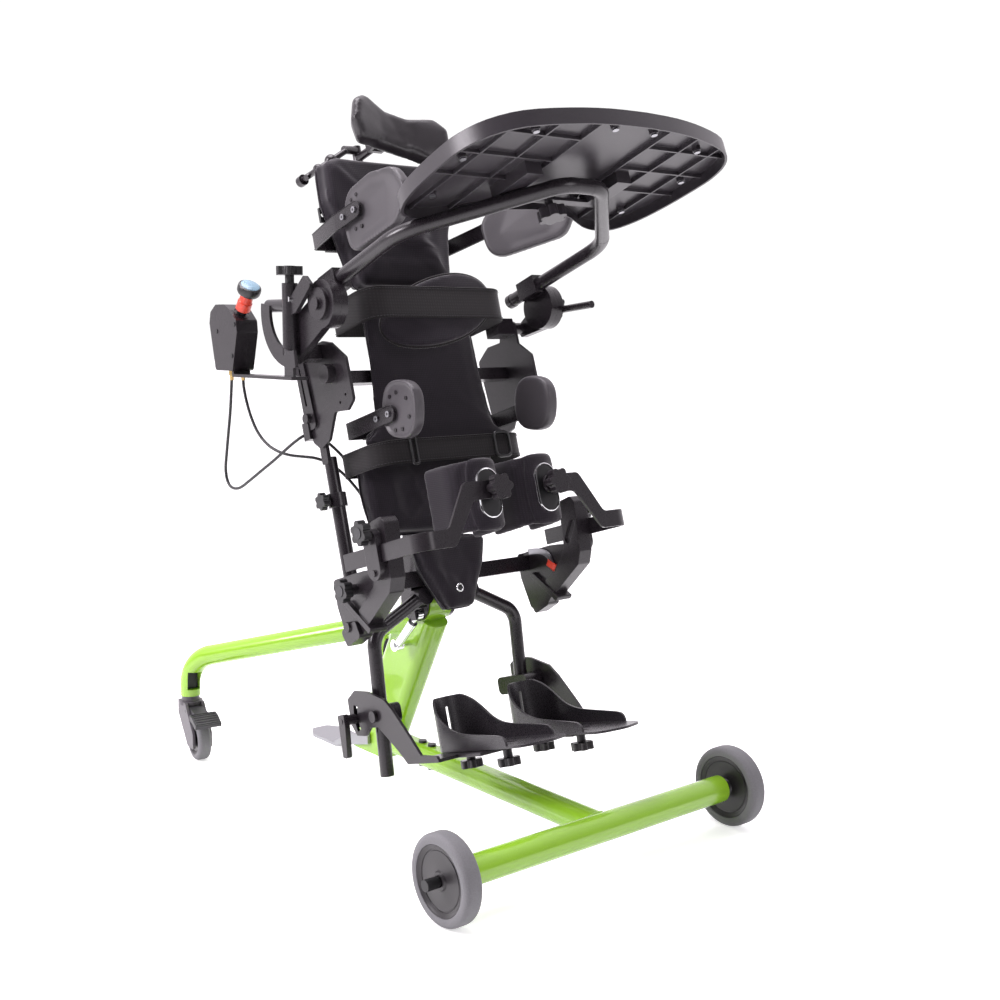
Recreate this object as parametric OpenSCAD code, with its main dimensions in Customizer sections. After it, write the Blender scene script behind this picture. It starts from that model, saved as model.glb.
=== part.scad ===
// Standing frame on a wheeled base: a leaning set of body pads hung on a mast, with a tray in front.
// Millimetres, +Z up, the user faces -Y. Origin on the floor under the middle of the frame.

/* [Base] */
// Radius of the front wheels
wheel_r = 62.5; // [58:0.5:66]
// Width of the front tyres
wheel_w = 28; // [24:1:32]
// Half distance between the front wheels
track_half = 280; // [270:1:300]
// Outside radius of the front cross tube
axle_tube_r = 21; // [18:0.5:23]
// Radius of the rear leg tubes
leg_r = 18; // [16:0.5:20]
// Radius of the rear caster wheels
caster_r = 37.5; // [34:0.5:39]
// Width of the mast across the frame
mast_w = 46; // [40:1:48]
// Depth of the mast, front to back
mast_d = 95; // [90:1:100]

/* [Posture] */
// Backward lean of the pads at rest
lean = 16.5; // [13:0.5:18]
// Angle of the tray above square to the pads
tray_pitch = 4.5; // [3:0.5:6]

/* [Pads] */
// Thickness of the trunk pad
torso_t = 54; // [46:1:56]
// Thickness of the hip pad
hip_t = 27; // [22:1:27]
// Thickness of the leg pad
leg_pad_t = 46; // [38:1:48]
// Half width of the hip strap
hip_strap_half = 147; // [140:1:152]
// Half distance between the foot plates
foot_half = 74; // [66:1:78]
// Half distance between the knee pads
knee_half = 57; // [54:1:60]

/* [Tray] */
// Radius of the tray tube
tray_tube_r = 11; // [9:0.25:11]
// Height of the tray rim
tray_rim = 22; // [18:1:26]
// Thickness of the tray's walls and ribs
tray_wall = 3; // [2.5:0.25:4]

/* [Hidden] */
$fn = 64;

// Colours
green = [0.45, 0.78, 0.10];
black = [0.13, 0.13, 0.14];
graphite = [0.24, 0.24, 0.26];
fabric = [0.09, 0.09, 0.12];
tyre_grey = [0.50, 0.50, 0.51];
steel = [0.75, 0.76, 0.78];
red = [0.85, 0.20, 0.12];

// Shared clearances and places
mid_y = 402.75;
run_gap = 0.05;
free_gap = 0.4;
bend_lap = 1.5;
bend_swell = 0.2;
fine = 0.1;
pivot_y = 415;
pivot_z = 332;
pivot_r = 9;
head_r = 36;
left = -1;
right = 1;

// Smooth outlines
function unit(v) = v / norm(v);
function corner(a, v, b, r, n) =
    let (p = unit(a - v), q = unit(b - v), half = acos(p * q) / 2, t = r / tan(half))
    let (c = v + unit(p + q) * r / sin(half), s = v + p * t - c, e = v + q * t - c, turn = 180 - 2 * half)
    [for (i = [0:n]) c + (s * sin(turn * (n - i) / n) + e * sin(turn * i / n)) / sin(turn)];
function rounded(pts, r, n = 5) = [for (i = [0:len(pts) - 1])
    each corner(pts[(i + len(pts) - 1) % len(pts)], pts[i], pts[(i + 1) % len(pts)], r, n)];
function softened(pts, r, n = 5) = [for (i = [0:len(pts) - 1]) each (i == 0 || i == len(pts) - 1)
    ? [pts[i]] : corner(pts[i - 1], pts[i], pts[i + 1], r, n)];
function at(p, i) = p[max(0, min(len(p) - 1, i))];
function between(p, i, t) = (2 * at(p, i) + t * (at(p, i + 1) - at(p, i - 1))
    + t * t * (2 * at(p, i - 1) - 5 * at(p, i) + 4 * at(p, i + 1) - at(p, i + 2))
    + t * t * t * (3 * at(p, i) - at(p, i - 1) - 3 * at(p, i + 1) + at(p, i + 2))) / 2;
function smooth(p, n) = concat([for (i = [0:len(p) - 2]) for (k = [0:n - 1]) between(p, i, k / n)],
    [p[len(p) - 1]]);
function fuller(v) = sign(v) * pow(abs(v), 0.78);
function full_oval(c, half, turn, n) = [for (i = [0:n - 1]) let (a = 360 * i / n, u = half * fuller(cos(a)),
    v = half * fuller(sin(a))) c + [u * cos(turn) + v * sin(turn), v * cos(turn) - u * sin(turn)]];
function mirrored(half) = concat(half, [for (i = [len(half) - 1:-1:0]) [-half[i][0], half[i][1]]]);

// Frames of reference
module ground() {
    translate([0, -mid_y, 0]) children();
}
module tilt() {
    ground() translate([0, pivot_y, pivot_z]) rotate([-lean, 0, 0]) children();
}
module tilt_level() {
    ground() translate([0, pivot_y, pivot_z]) children();
}
module along(p, q) {
    z = unit(q - p);
    x = unit(cross(abs(z[2]) > 0.9 ? [0, 1, 0] : [0, 0, 1], z));
    y = cross(z, x);
    multmatrix([[x[0], y[0], z[0], p[0]], [x[1], y[1], z[1], p[1]], [x[2], y[2], z[2], p[2]], [0, 0, 0, 1]])
        children();
}
module rod(p, q, r) {
    along(p, q) cylinder(h = norm(q - p), r = r);
}
module elbow(u, w, c, bend, r) {
    n = unit(w - u * (u * w));
    z = cross(-n, u);
    multmatrix([[-n[0], u[0], z[0], c[0]], [-n[1], u[1], z[1], c[1]], [-n[2], u[2], z[2], c[2]],
        [0, 0, 0, 1]])
        rotate_extrude(angle = acos(u * w)) translate([bend, 0]) circle(r = r);
}
module bent_tube(pts, bends, r) {
    last = len(pts) - 1;
    dirs = [for (i = [0:last - 1]) unit(pts[i + 1] - pts[i])];
    cuts = [for (i = [0:last]) (i == 0 || i == last)
        ? 0 : bends[i - 1] * tan(acos(dirs[i - 1] * dirs[i]) / 2)];
    for (i = [0:last - 1]) rod(pts[i] + dirs[i] * (i == 0 ? 0 : cuts[i] - bend_lap),
        pts[i + 1] - dirs[i] * (i == last - 1 ? 0 : cuts[i + 1] - bend_lap), r);
    for (i = [1:last - 1]) {
        side = unit(dirs[i] - dirs[i - 1] * (dirs[i] * dirs[i - 1]));
        elbow(dirs[i - 1], dirs[i], pts[i] - dirs[i - 1] * cuts[i] + side * bends[i - 1], bends[i - 1],
            r + bend_swell);
    }
}
module plate_x(x0, x1) {
    translate([min(x0, x1), 0, 0]) rotate([90, 0, 90]) linear_extrude(abs(x1 - x0)) children();
}
module plate_y(y0, y1) {
    translate([0, max(y0, y1), 0]) rotate([90, 0, 0]) linear_extrude(abs(y1 - y0)) children();
}
module box(lo, hi) {
    translate(lo) cube(hi - lo);
}
module disc_x(x0, x1, r) {
    translate([min(x0, x1), 0, 0]) rotate([0, 90, 0]) cylinder(h = abs(x1 - x0), r = r);
}
module stadium(w, h) {
    square([w - h, h], center = true);
    for (s = [left, right]) translate([s * (w - h) / 2, 0]) circle(d = h);
}

// A padded form standing on its flat back: drawn-in sides, rounded edge and a crowned front
module cushion(outline, back, front, round, crown, waist, bend = 0) {
    n = len(outline);
    mid = [for (k = [0, 1]) (max([for (p = outline) p[k]]) + min([for (p = outline) p[k]])) / 2];
    reach = max([for (p = outline) norm(p - mid)]);
    shape = [[round, back], [0, back - round], [waist, (back + front) / 2], [0, front + round],
        [round * 0.7, front + round * 0.2], [reach * 0.3, front - crown * 0.6],
            [reach * 0.65, front - crown * 0.95]];
    rings = len(shape);
    pts = [for (s = shape) for (p = outline)
        let (q = mid + (p - mid) * (1 - s[0] / reach)) [q[0], s[1] - bend * pow(q[0] - mid[0], 2), q[1]]];
    ends = [[mid[0], back, mid[1]], [mid[0], front - crown, mid[1]]];
    sides = [for (k = [0:rings - 2]) for (i = [0:n - 1])
        let (a = k * n + i, b = k * n + (i + 1) % n) each [[a, b + n, b], [a, a + n, b + n]]];
    caps = [for (i = [0:n - 1]) each [[rings * n, i, (i + 1) % n],
        [rings * n + 1, (rings - 1) * n + (i + 1) % n, (rings - 1) * n + i]]];
    polyhedron(points = concat(pts, ends), faces = concat(sides, caps), convexity = 4);
}

// Base: sizes
axle_z = wheel_r;
tube_wall = 3;
plug = 24;
cross_half = track_half - wheel_w / 2 - 10;
bolt_r = 6;
shoulder_r = 10;
hub_face = track_half + wheel_w / 2 + 1;
bolt_end = hub_face + 20;
spine_w = 47;
spine_h = 36;
mast_lean = 27.9;
mast_corner = 17;
mast_foot = 36;
mast_shift = -0.5;
leg_root = [8, 439, 296];
leg_knee = [215, 860, 177];
leg_foot_z = 110;
leg_bend = 62;

module front_crossbar() color(green) ground() translate([0, 0, axle_z]) {
    difference() {
        disc_x(-cross_half, cross_half, axle_tube_r);
        disc_x(-cross_half + plug, cross_half - plug, axle_tube_r - tube_wall);
        for (s = [left, right]) disc_x(s * (cross_half + 1), s * (cross_half - plug + 2), bolt_r + run_gap);
    }
}

module oval_deck() {
    stadium(spine_w, spine_h);
}
module mast_section() {
    square([mast_w, mast_d - 2 * mast_corner], center = true);
    square([mast_w - 2 * mast_corner, mast_d], center = true);
    for (x = [left, right]) for (y = [left, right])
        translate([x * (mast_w / 2 - mast_corner), y * (mast_d / 2 - mast_corner)]) circle(r = mast_corner);
}
module mast_body() {
    ground() translate([0, pivot_y, pivot_z]) rotate([mast_lean, 0, 0])
        translate([0, 0, -400]) linear_extrude(400 - head_r * 0.6)
            translate([0, mast_shift]) mast_section();
}
module spine_tube() color(green) difference() {
    ground() translate([0, 8, axle_z + 1]) rotate([-90, 0, 0]) linear_extrude(520) oval_deck();
    ground() translate([0, 0, axle_z]) disc_x(-cross_half, cross_half, axle_tube_r);
    mast_body();
    ground() translate([0, 60, axle_z + 1]) rotate([-90, 0, 0]) linear_extrude(380)
        stadium(spine_w - 2 * tube_wall, spine_h - 2 * tube_wall);
    ground() for (y = bolt_rows) translate([0, y, 0]) cylinder(h = 3 * axle_z, r = frame_bolt_r + run_gap);
}
module mast() color(green) difference() {
    union() {
        mast_body();
        ground() translate([0, pivot_y, pivot_z]) disc_x(-mast_w / 2 + 0.5, mast_w / 2 - 0.5, head_r);
    }
    ground() translate([-mast_w, 0, -200]) cube([2 * mast_w, 900, 200 + mast_foot]);
    ground() translate([0, pivot_y, pivot_z]) disc_x(-mast_w, mast_w, pivot_r + run_gap);
    ground() translate([0, pedal_y, pedal_z]) disc_x(-mast_w, mast_w, pedal_pin_r + fine);
    ground() translate([0, gas_y, gas_z]) disc_x(-mast_w, 0, gas_pin_r + fine);
}
module rear_leg_body(s) {
    ground() bent_tube([[s * leg_root[0], leg_root[1], leg_root[2]],
        [s * leg_knee[0], leg_knee[1], leg_knee[2]],
        [s * leg_knee[0], leg_knee[1], leg_foot_z]], [leg_bend], leg_r);
}
window_w = 24;
window_lo = leg_foot_z + 12;
window_hi = leg_foot_z + 46;
module rear_leg_left() color(green) difference() {
    rear_leg_body(left);
    mast_body();
    ground() translate([left * leg_knee[0], leg_knee[1], leg_foot_z - 1])
        cylinder(h = 14, r = caster_stem_r + fine);
    ground() translate([left * leg_knee[0] - window_w / 2, leg_knee[1] - 2 * leg_r, window_lo])
        cube([window_w, 2 * leg_r - 4, window_hi - window_lo]);
}
module rear_leg_right() {
    mirror([1, 0, 0]) rear_leg_left();
}

bolt_rows = [408, 434];
frame_bolt_r = 4;
frame_bolt_head = 7;
module base_bolts() color(black) ground() {
    for (s = [left, right]) translate([0, 0, axle_z]) {
        disc_x(s * (cross_half - plug + 4), s * bolt_end, bolt_r);
        disc_x(s * cross_half, s * (track_half - wheel_w / 2 - 1), shoulder_r);
        difference() {
            disc_x(s * hub_face, s * bolt_end, bolt_r + 2);
            translate([s * (bolt_end - 6), 0, 0]) rotate([0, s * 90, 0]) cylinder(h = 7, r = 4, $fn = 6);
        }
    }
    for (y = bolt_rows) translate([0, y, axle_z + 1]) {
        cylinder(h = spine_h + 8, r = frame_bolt_r, center = true);
        for (s = [left, right]) translate([0, 0, s * (spine_h / 2 + 2)])
            cylinder(h = 4, r = frame_bolt_head, center = true);
    }
}

// Front wheels: grey tyre round a dished black hub, running on a shoulder bolt
hub_r = 47;
tyre_edge = 7;
module wheel(r, w, edge, rim, dish, bore) {
    rotate([0, 90, 0]) difference() {
        rotate_extrude() difference() {
            union() {
                translate([0, -w / 2]) square([r - edge, w]);
                translate([0, -w / 2 + edge]) square([r, w - 2 * edge]);
                for (s = [left, right]) translate([r - edge, s * (w / 2 - edge)]) circle(r = edge);
            }
            translate([-2 * r, -2 * w]) square([2 * r, 4 * w]);
            for (s = [left, right]) translate([rim * 0.42, s * w / 2 - (s < 0 ? 0 : dish)])
                square([rim * 0.58, dish]);
        }
        cylinder(h = 3 * w, r = bore, center = true);
    }
}
module front_wheel(s) color(tyre_grey) ground() translate([s * track_half, 0, axle_z])
    wheel(wheel_r, wheel_w, tyre_edge, hub_r, 4, bolt_r + run_gap);
module front_wheel_left() {
    front_wheel(left);
}
module front_wheel_right() {
    front_wheel(right);
}

// Swivel casters with a foot brake
caster_stem_r = 6;
caster_trail = 42;
caster_turn = 8;
caster_w = 24;
caster_axle_r = 4;
fork_top = 100;
fork_cap_r = 21;
cheek_t = 5;
cheek_gap = 1;
pedal_hinge = [0, -22, 86];
pedal_hinge_r = 3;
module caster_place(s) {
    ground() translate([s * leg_knee[0], leg_knee[1], 0]) rotate([0, 0, -caster_turn]) children();
}
module caster_fork(s) color(graphite) caster_place(s) {
    inner = caster_w / 2 + cheek_gap;
    difference() {
        union() {
            translate([0, 0, fork_top - 6]) cylinder(h = 6, r = fork_cap_r);
            translate([0, 0, fork_top]) cylinder(h = leg_foot_z - fork_top - free_gap, r = fork_cap_r - 5);
            translate([0, 0, fork_top]) cylinder(h = leg_foot_z - fork_top + 11, r = caster_stem_r);
            for (t = [left, right]) plate_x(t * inner, t * (inner + cheek_t)) {
                polygon(rounded([[18, fork_top], [20, 76], [14 - caster_trail, 24], [-18 - caster_trail, 24],
                    [-18 - caster_trail, 52], [-21, fork_top]], 5));
            }
            box([-inner - cheek_t, 8, fork_top - 22], [inner + cheek_t, 18, fork_top]);
            box([-inner - cheek_t, -18, fork_top - 5], [inner + cheek_t, 18, fork_top]);
        }
        translate(pedal_hinge) disc_x(-40, 40, pedal_hinge_r + run_gap);
    }
    translate([0, -caster_trail, caster_r]) disc_x(-inner - 0.5, inner + 0.5, caster_axle_r);
}
module caster_wheel(s) color(tyre_grey) caster_place(s) translate([0, -caster_trail, caster_r])
    wheel(caster_r, caster_w, 8, 26, 3, caster_axle_r + run_gap);
module caster_pedal(s) color(black) caster_place(s) {
    inner = caster_w / 2 + cheek_gap;
    translate(pedal_hinge) disc_x(-inner - cheek_t, inner + cheek_t, pedal_hinge_r);
    plate_x(-inner + free_gap, inner - free_gap)
        polygon(rounded([[-16, 84], [-16, 92], [-30, 93], [-62, 88], [-76, 82], [-74, 76], [-61, 81],
            [-28, 82]], 1.5));
    plate_x(-inner - cheek_t - 6, inner + cheek_t + 6)
        polygon(rounded([[-62.5, 81], [-62.5, 91], [-76, 88], [-96, 77], [-94, 70], [-74, 79]], 1.5));
}
module caster_fork_left() {
    caster_fork(left);
}
module caster_wheel_left() {
    caster_wheel(left);
}
module caster_pedal_left() {
    caster_pedal(left);
}
module caster_fork_right() {
    caster_fork(right);
}
module caster_wheel_right() {
    caster_wheel(right);
}
module caster_pedal_right() {
    caster_pedal(right);
}

// Foot pedal behind the mast
pedal_y = 566;
pedal_z = 62;
pedal_pin_r = 6;
pedal_arm_x = mast_w / 2 + 2;
module foot_pedal() color(graphite) ground() {
    translate([0, pedal_y, pedal_z]) {
        disc_x(-pedal_arm_x - 5, pedal_arm_x + 5, pedal_pin_r);
        for (s = [left, right]) plate_x(s * pedal_arm_x, s * (pedal_arm_x + 5))
            polygon(rounded([[-9, -9], [-9, 9], [9, 9], [60, -9], [105, -32], [105, -38], [60, -26]], 2));
        translate([0, 100, -38]) linear_extrude(6) polygon(rounded([[-pedal_arm_x - 5, -12],
            [pedal_arm_x + 5, -12],
            [32, 70], [16, 98], [-16, 98], [-32, 70]], 9));
    }
}

// Gas spring beside the mast
pivot_boss = 6;
cheek_in = mast_w / 2 + 1;
cheek_out = cheek_in + 8;
gas_body_r = 8;
gas_x = -cheek_out - pivot_boss - gas_body_r - 0.5;
gas_y = 440;
gas_z = 256;
gas_pin_r = 5;
gas_rod_r = 4;
gas_body_h = 64;
gas_top = [gas_x, 380, 318];
gas_bottom = [gas_x, gas_y, gas_z];
gas_dir = unit(gas_top - gas_bottom);
module gas_cylinder() color(steel) ground() {
    difference() {
        union() {
            translate(gas_bottom) disc_x(-7, 7, 10);
            rod(gas_bottom + gas_dir * 6, gas_bottom + gas_dir * gas_body_h, gas_body_r);
        }
        rod(gas_bottom + gas_dir * 17, gas_bottom + gas_dir * (gas_body_h + 2), gas_rod_r + run_gap);
    }
    translate(gas_bottom) disc_x(-10, -gas_x - mast_w / 2 + 10, gas_pin_r);
}
module gas_rod() color(steel) ground() {
    difference() {
        union() {
            rod(gas_bottom + gas_dir * 26, gas_top, gas_rod_r);
            translate(gas_top) disc_x(-gas_eye_w, gas_eye_w, 8);
        }
        translate(gas_top) disc_x(-6, 6, 3.5);
    }
}
gas_eye_w = 5;

// Tilting head, back post and the square tube across the knees
post_front = -35;
post_back = -5;
post_lo = 45;
post_hi = 690;
cross_y = -47.5;
cross_z = 32;
cross_s = 25;
strut_gap = 25;
strut_x = -hip_strap_half - strut_gap;
cross_end = 6 - strut_x;
hub_x = cheek_out + 14;
lug_out = hub_x + 10;
hub_z = 4;
hub_pin_r = 6;
lug_y = -28;
module tilt_head() color(black) tilt() {
    for (s = [left, right]) {
        difference() {
            plate_x(s * cheek_in, s * cheek_out) union() {
                circle(r = head_r - 2);
                polygon([[post_front, 6], [post_front, 118], [post_back, 118], [12, 60], [head_r - 3, 6]]);
            }
            translate([0, cross_y, cross_z]) cube([4 * hub_x, cross_s, cross_s], center = true);
        }
        box([s > 0 ? cheek_out - 2 : -lug_out, post_front, -14],
            [s > 0 ? lug_out : 2 - cheek_out, lug_y, 24]);
        translate([s * hub_x, lug_y, hub_z]) rotate([90, 0, 0]) cylinder(h = 32.5, r = hub_pin_r);
        disc_x(s * (cheek_out - 1), s * (cheek_out + pivot_boss), pivot_r + 5);
    }
    for (t = [left, right]) plate_x(gas_x + t * (gas_eye_w + free_gap),
        gas_x + t * (gas_eye_w + free_gap + 4))
        polygon([[-34, -32], [-34, -10], [lug_y, -10], [-20, -14], [-20, -32]]);
    disc_x(-cheek_out, cheek_out, pivot_r);
}
link_lo = 348;
link_hi = 368;
link_front = -90;
link_back = -70;
plate_in = 10 - strut_x;
plate_t = 5;
module back_post() color(black) tilt() {
    difference() {
        box([-cheek_in, post_front, post_lo], [cheek_in, post_back, post_hi]);
        box([-cheek_in + tube_wall, post_front + tube_wall, 130],
            [cheek_in - tube_wall, post_back - tube_wall,
            post_hi + 1]);
    }
    box([-cheek_in, link_back, link_lo - 6], [cheek_in, post_front, link_hi + 6]);
    box([-plate_in, link_front, link_lo], [plate_in, link_back, link_hi]);
}
module cross_tube() color(black) tilt() translate([0, cross_y, cross_z]) difference() {
    cube([2 * cross_end, cross_s, cross_s], center = true);
    for (s = [left, right]) translate([s * (cross_end / 2 + 30), 0, 0])
        cube([cross_end - 60, cross_s - 5, cross_s - 5], center = true);
}

// Body pads on moulded backing plates
shell_t = 5;
shell_corner = 6;
calf_front = -101;
calf_back = -66;
calf_half = [[26, -29], [64, 42], [74, 92]];
leg_front = -43 - leg_pad_t;
leg_back = -43;
leg_half = [[108, 104], [133, 122], [140, 180], [134, 239], [90, 236]];
hip_front = -95 - hip_t;
hip_back = -95;
hip_half = [[137, 236], [146, 250], [121, 264], [112, 300], [106, 380], [108, 466], [84, 478]];
torso_back = -60;
torso_front = torso_back - torso_t;
torso_half = [[92, 500], [98, 524], [112, 600], [131, 648], [129, 712], [104, 725]];
function pad_outline(half, r) = rounded(mirrored(half), r);
module calf_pad() color(fabric) tilt() {
    cushion(pad_outline(calf_half, 10), calf_back, calf_front + 6, 8, 6, 1.5);
}
module leg_pad() color(fabric) tilt() {
    cushion(pad_outline(leg_half, 16), leg_back, leg_front + 7, 13, 7, 3);
}
module hip_pad() color(fabric) tilt() {
    cushion(pad_outline(hip_half, 8), hip_back, hip_front + 5, 9, 5, 2);
}
module torso_pad() color(fabric) tilt() {
    cushion(pad_outline(torso_half, 16), torso_back, torso_front + 7, 12, 7, 3);
}
module shell(half, k, back) {
    mid = (max([for (p = half) p[1]]) + min([for (p = half) p[1]])) / 2;
    drawn_in = [for (p = half) [p[0] * k, mid + (p[1] - mid) * k]];
    plate_y(back, back + shell_t) polygon(pad_outline(drawn_in, shell_corner));
}
module pad_shells() color(black) tilt() {
    shell(torso_half, 0.9, torso_back);
    box([-cheek_in, torso_back + shell_t, 540], [cheek_in, post_front, 680]);
    shell(hip_half, 0.9, hip_back);
    box([-cheek_in, hip_back + shell_t, 270], [cheek_in, post_front, link_lo - 8]);
    shell(leg_half, 0.88, leg_back);
    box([-cheek_in, leg_back + shell_t, 130], [cheek_in, post_front, 210]);
    plate_y(calf_back, calf_back + shell_t) polygon(pad_outline([[22, -24], [58, 42], [66, 86]], 8));
    box([-30, calf_back + shell_t, 54], [30, post_front, 86]);
    box([-30, chest_back, chest_lo + 5], [30, post_front, chest_hi - 7]);
    for (g = [[trunk_slot, trunk_z], [hip_slot, hip_z]])
        box([-110, g[0], g[1] - bar_h / 2], [110, g[0] + 6, g[1] + bar_h / 2]);
    for (s = [left, right]) translate([s * 116, torso_back + shell_t / 2, 634]) difference() {
        box([s > 0 ? -20 : -6, -shell_t / 2, -12], [s > 0 ? 6 : 20, shell_t / 2, 12]);
        for (x = [-1, 10]) translate([-s * x, 0, 0]) rotate([90, 0, 0])
            cylinder(h = 20, r = 3.5, center = true);
    }
}

// Chest strap with its oval pad, and the hip strap with a buckle and a loop
strap_t = 3;
strap_half = 138;
strap_bend = 40;
module band(half, front, back, bend, t, lo, hi) {
    translate([0, 0, lo]) linear_extrude(hi - lo) {
        for (s = [left, right]) {
            translate([s * (half - t / 2), (front + bend + back) / 2])
                square([t, back - front - bend], center = true);
            translate([s * (half - bend), front + bend]) intersection() {
                difference() {
                    circle(r = bend);
                    circle(r = bend - t);
                }
                translate([s > 0 ? 0 : -bend, -bend]) square([bend, bend]);
            }
        }
        translate([0, front + t / 2]) square([2 * (half - bend), t], center = true);
    }
}
strap_front = -176;
chest_back = -64;
chest_pad_back = -152;
chest_lo = 429;
chest_hi = 480;
chest_pad_bend = -0.0012;
module chest_strap() color(fabric) tilt() {
    band(strap_half, strap_front, chest_back, strap_bend, strap_t, chest_lo, chest_hi);
    for (s = [left, right]) box([s > 0 ? 4 : -strap_half, chest_back - strap_t, chest_lo],
        [s > 0 ? strap_half : -4, chest_back, chest_hi]);
    oval = [for (a = [0:12:348]) [11 + 105 * cos(a) + 50 * sin(a), 447 + 62 * sin(a)]];
    cushion(oval, chest_pad_back, strap_front + strap_t + 4, 5, 5, 1, chest_pad_bend);
}

hip_strap_front = -152;
hip_strap_back = -35;
hip_lo = 205;
hip_hi = 243;
module hip_strap() color(fabric) tilt() {
    band(hip_strap_half, hip_strap_front, hip_strap_back, 50, strap_t, hip_lo, hip_hi);
    for (s = [left, right]) box([s > 0 ? 100 : -hip_strap_half, hip_strap_back - strap_t, hip_lo],
        [s > 0 ? hip_strap_half : -100, hip_strap_back, hip_hi]);
    translate([88, hip_strap_front, (hip_lo + hip_hi) / 2]) difference() {
        box([-17, -6, -22], [17, 0, 22]);
        box([-11, -7, -16], [11, 1, 16]);
    }
    translate([-88, hip_strap_front, (hip_lo + hip_hi) / 2]) difference() {
        box([-6, -5, -24], [6, 0, 24]);
        box([-3, -6, -20], [3, 1, 20]);
    }
}

// Side plates that carry the tray arms
plate_out = plate_in + plate_t;
plate_pts = [[-104, 412], [-124, 404], [-158, 372], [-160, 306], [-140, 294], [-104, 300], [-76, 262],
    [-48, 254],
    [-30, 268], [-18, 396], [-50, 414]];
boss_y = -112;
boss_z = 358;
module side_plate(s) color(graphite) tilt() {
    difference() {
        plate_x(s * plate_in, s * plate_out) polygon(rounded(plate_pts, 8));
        for (p = [[-142, 318], [-124, 310]]) translate([0, p[0], p[1]]) disc_x(-300, 300, 2.5);
    }
    if (s > 0) plate_x(plate_in, plate_out) polygon(rounded([[-130, 384], [arm_bar[0] - 16, arm_bar[1] + 6],
        [arm_bar[0], arm_bar[1] + 18], [arm_bar[0] + 18, arm_bar[1] + 8], [-76, 394]], 6));
    translate([0, boss_y, boss_z]) disc_x(s * plate_out, s * (plate_out + 14), 15);
    difference() {
        plate_x(s * plate_out, s * (plate_out + 4))
            polygon(rounded([[-52, 288], [-44, 398], [-18, 398], [-22, 288]], 8));
        plate_x(s * (plate_out - 1), s * (plate_out + 5))
            polygon(rounded([[-36, 326], [-32, 388], [-28, 388],
            [-31, 326]], 1.5));
    }
    translate([0, -36, 306]) disc_x(s * (plate_out + 4), s * (plate_out + 12), 8);
    if (s < 0) box([-plate_out - 6, -32, 274], [-plate_in + 4, -14, 302]);
}
module side_plate_left() {
    side_plate(left);
}
module side_plate_right() {
    side_plate(right);
}

// Ratchet clamps for the tray: an outer half on the side plate, an inner half round the tray tube
clamp_y = -176;
clamp_z = 448;
clamp_r = 36;
clamp_face = 213;
clamp_out = 226;
arm_x = 196;
tray_o = [0, -356, 495];
arm_bar = [-112, 430];
collar_in = 146;
arm_bar_r = 10;
post_foot = [-clamp_out - 8, -84, 396];
post_h = 108;
post_r = 12;
module arm_clamps() color(black) tilt() {
    for (s = [left, right]) translate([0, clamp_y, clamp_z]) {
        disc_x(s * clamp_face, s * clamp_out, clamp_r);
        disc_x(s * clamp_out, s * (clamp_out + 6), clamp_r - 12);
        disc_x(s * (clamp_out + 6), s * (clamp_out + 11), 9);
    }
    plate_x(-clamp_face, -clamp_out) polygon([[clamp_y, clamp_z - clamp_r + 2], [-74, 384], [-66, 412],
        [-92, 450], [clamp_y, clamp_z + 20]]);
    box([-clamp_face, -98, 386], [-plate_out, -72, 408]);
    translate(post_foot) rotate([lean, 0, 0]) cylinder(h = post_h, r = post_r);
    plate_x(-clamp_out - 6, -clamp_out - 13)
        polygon(rounded([[-178, 476], [-164, 496], [-116, 476], [-108, 452], [-124, 450], [-158, 466]], 4));
    plate_x(clamp_face, clamp_out) polygon([[clamp_y, clamp_z - clamp_r + 2],
        [arm_bar[0] + 4, arm_bar[1] - 14],
        [arm_bar[0] + 14, arm_bar[1] + 4], [clamp_y, clamp_z + 20]]);
    translate([0, arm_bar[0], arm_bar[1]]) disc_x(plate_out, clamp_out, arm_bar_r);
    box([collar_in, arm_bar[0] - 16, arm_bar[1] - 14], [plate_in, arm_bar[0] + 16, arm_bar[1] + 13]);
    translate([clamp_out + 2, -150, 446]) rotate([lean + 84, 0, 0]) cylinder(h = 128, r = 6);
}
module tray_space() {
    tilt() translate(tray_o) rotate([-tray_pitch, 0, 0]) children();
}
arm_back = 240;
block_y = 180;
block_half = 22;
end_lip = 0.8;
nose = 167;
nose_half = 34;
module tray_path(r) {
    tray_space() bent_tube([[-arm_x, arm_back, 0], [-arm_x, 0, 0], [-nose_half, -nose - 8, 0],
        [nose_half, -nose - 8,
        0], [arm_x, 0, 0], [arm_x, arm_back, 0]], [90, 46, 46, 90], r);
}
module tray_clamps() color(black) difference() {
    union() {
        tilt() translate([0, clamp_y, clamp_z]) for (s = [left, right])
            disc_x(s * (clamp_face - 13), s * (clamp_face - 0.3), clamp_r);
        tray_space() for (s = [left, right]) translate([s * arm_x, block_y, 0])
            box([s > 0 ? -15 : -13, -block_half, -15], [s > 0 ? 13 : 15, block_half, 15]);
    }
    tray_space() for (s = [left, right]) {
        rod([s * arm_x, arm_back + 40, 0], [s * arm_x, 60, 0], tray_tube_r + run_gap);
        rod([s * arm_x, arm_back + 40, 0], [s * arm_x, block_y + block_half + 1, 0],
            tray_tube_r + end_lip + free_gap);
    }
}
module tray_tube() color(black) {
    tray_path(tray_tube_r);
    tray_space() for (s = [left, right]) {
        rod([s * arm_x, arm_back - 8, 0], [s * arm_x, arm_back + 2, 0], tray_tube_r + end_lip);
        rod([s * arm_x, arm_back, 0], [s * arm_x, arm_back + 6, 0], tray_tube_r - 3);
    }
}
tray_lo = 14;
deck_t = 3;
tray_half = [[0, -317], [62, -314], [124, -303], [184, -283], [219, -252], [235, -214], [238, -176],
    [234, -110], [223, -58], [202, -24], [170, -18], [140, -24], [112, -38], [72, -58], [0, -70]];
tray_pts = mirrored(smooth(tray_half, 3));
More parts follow.
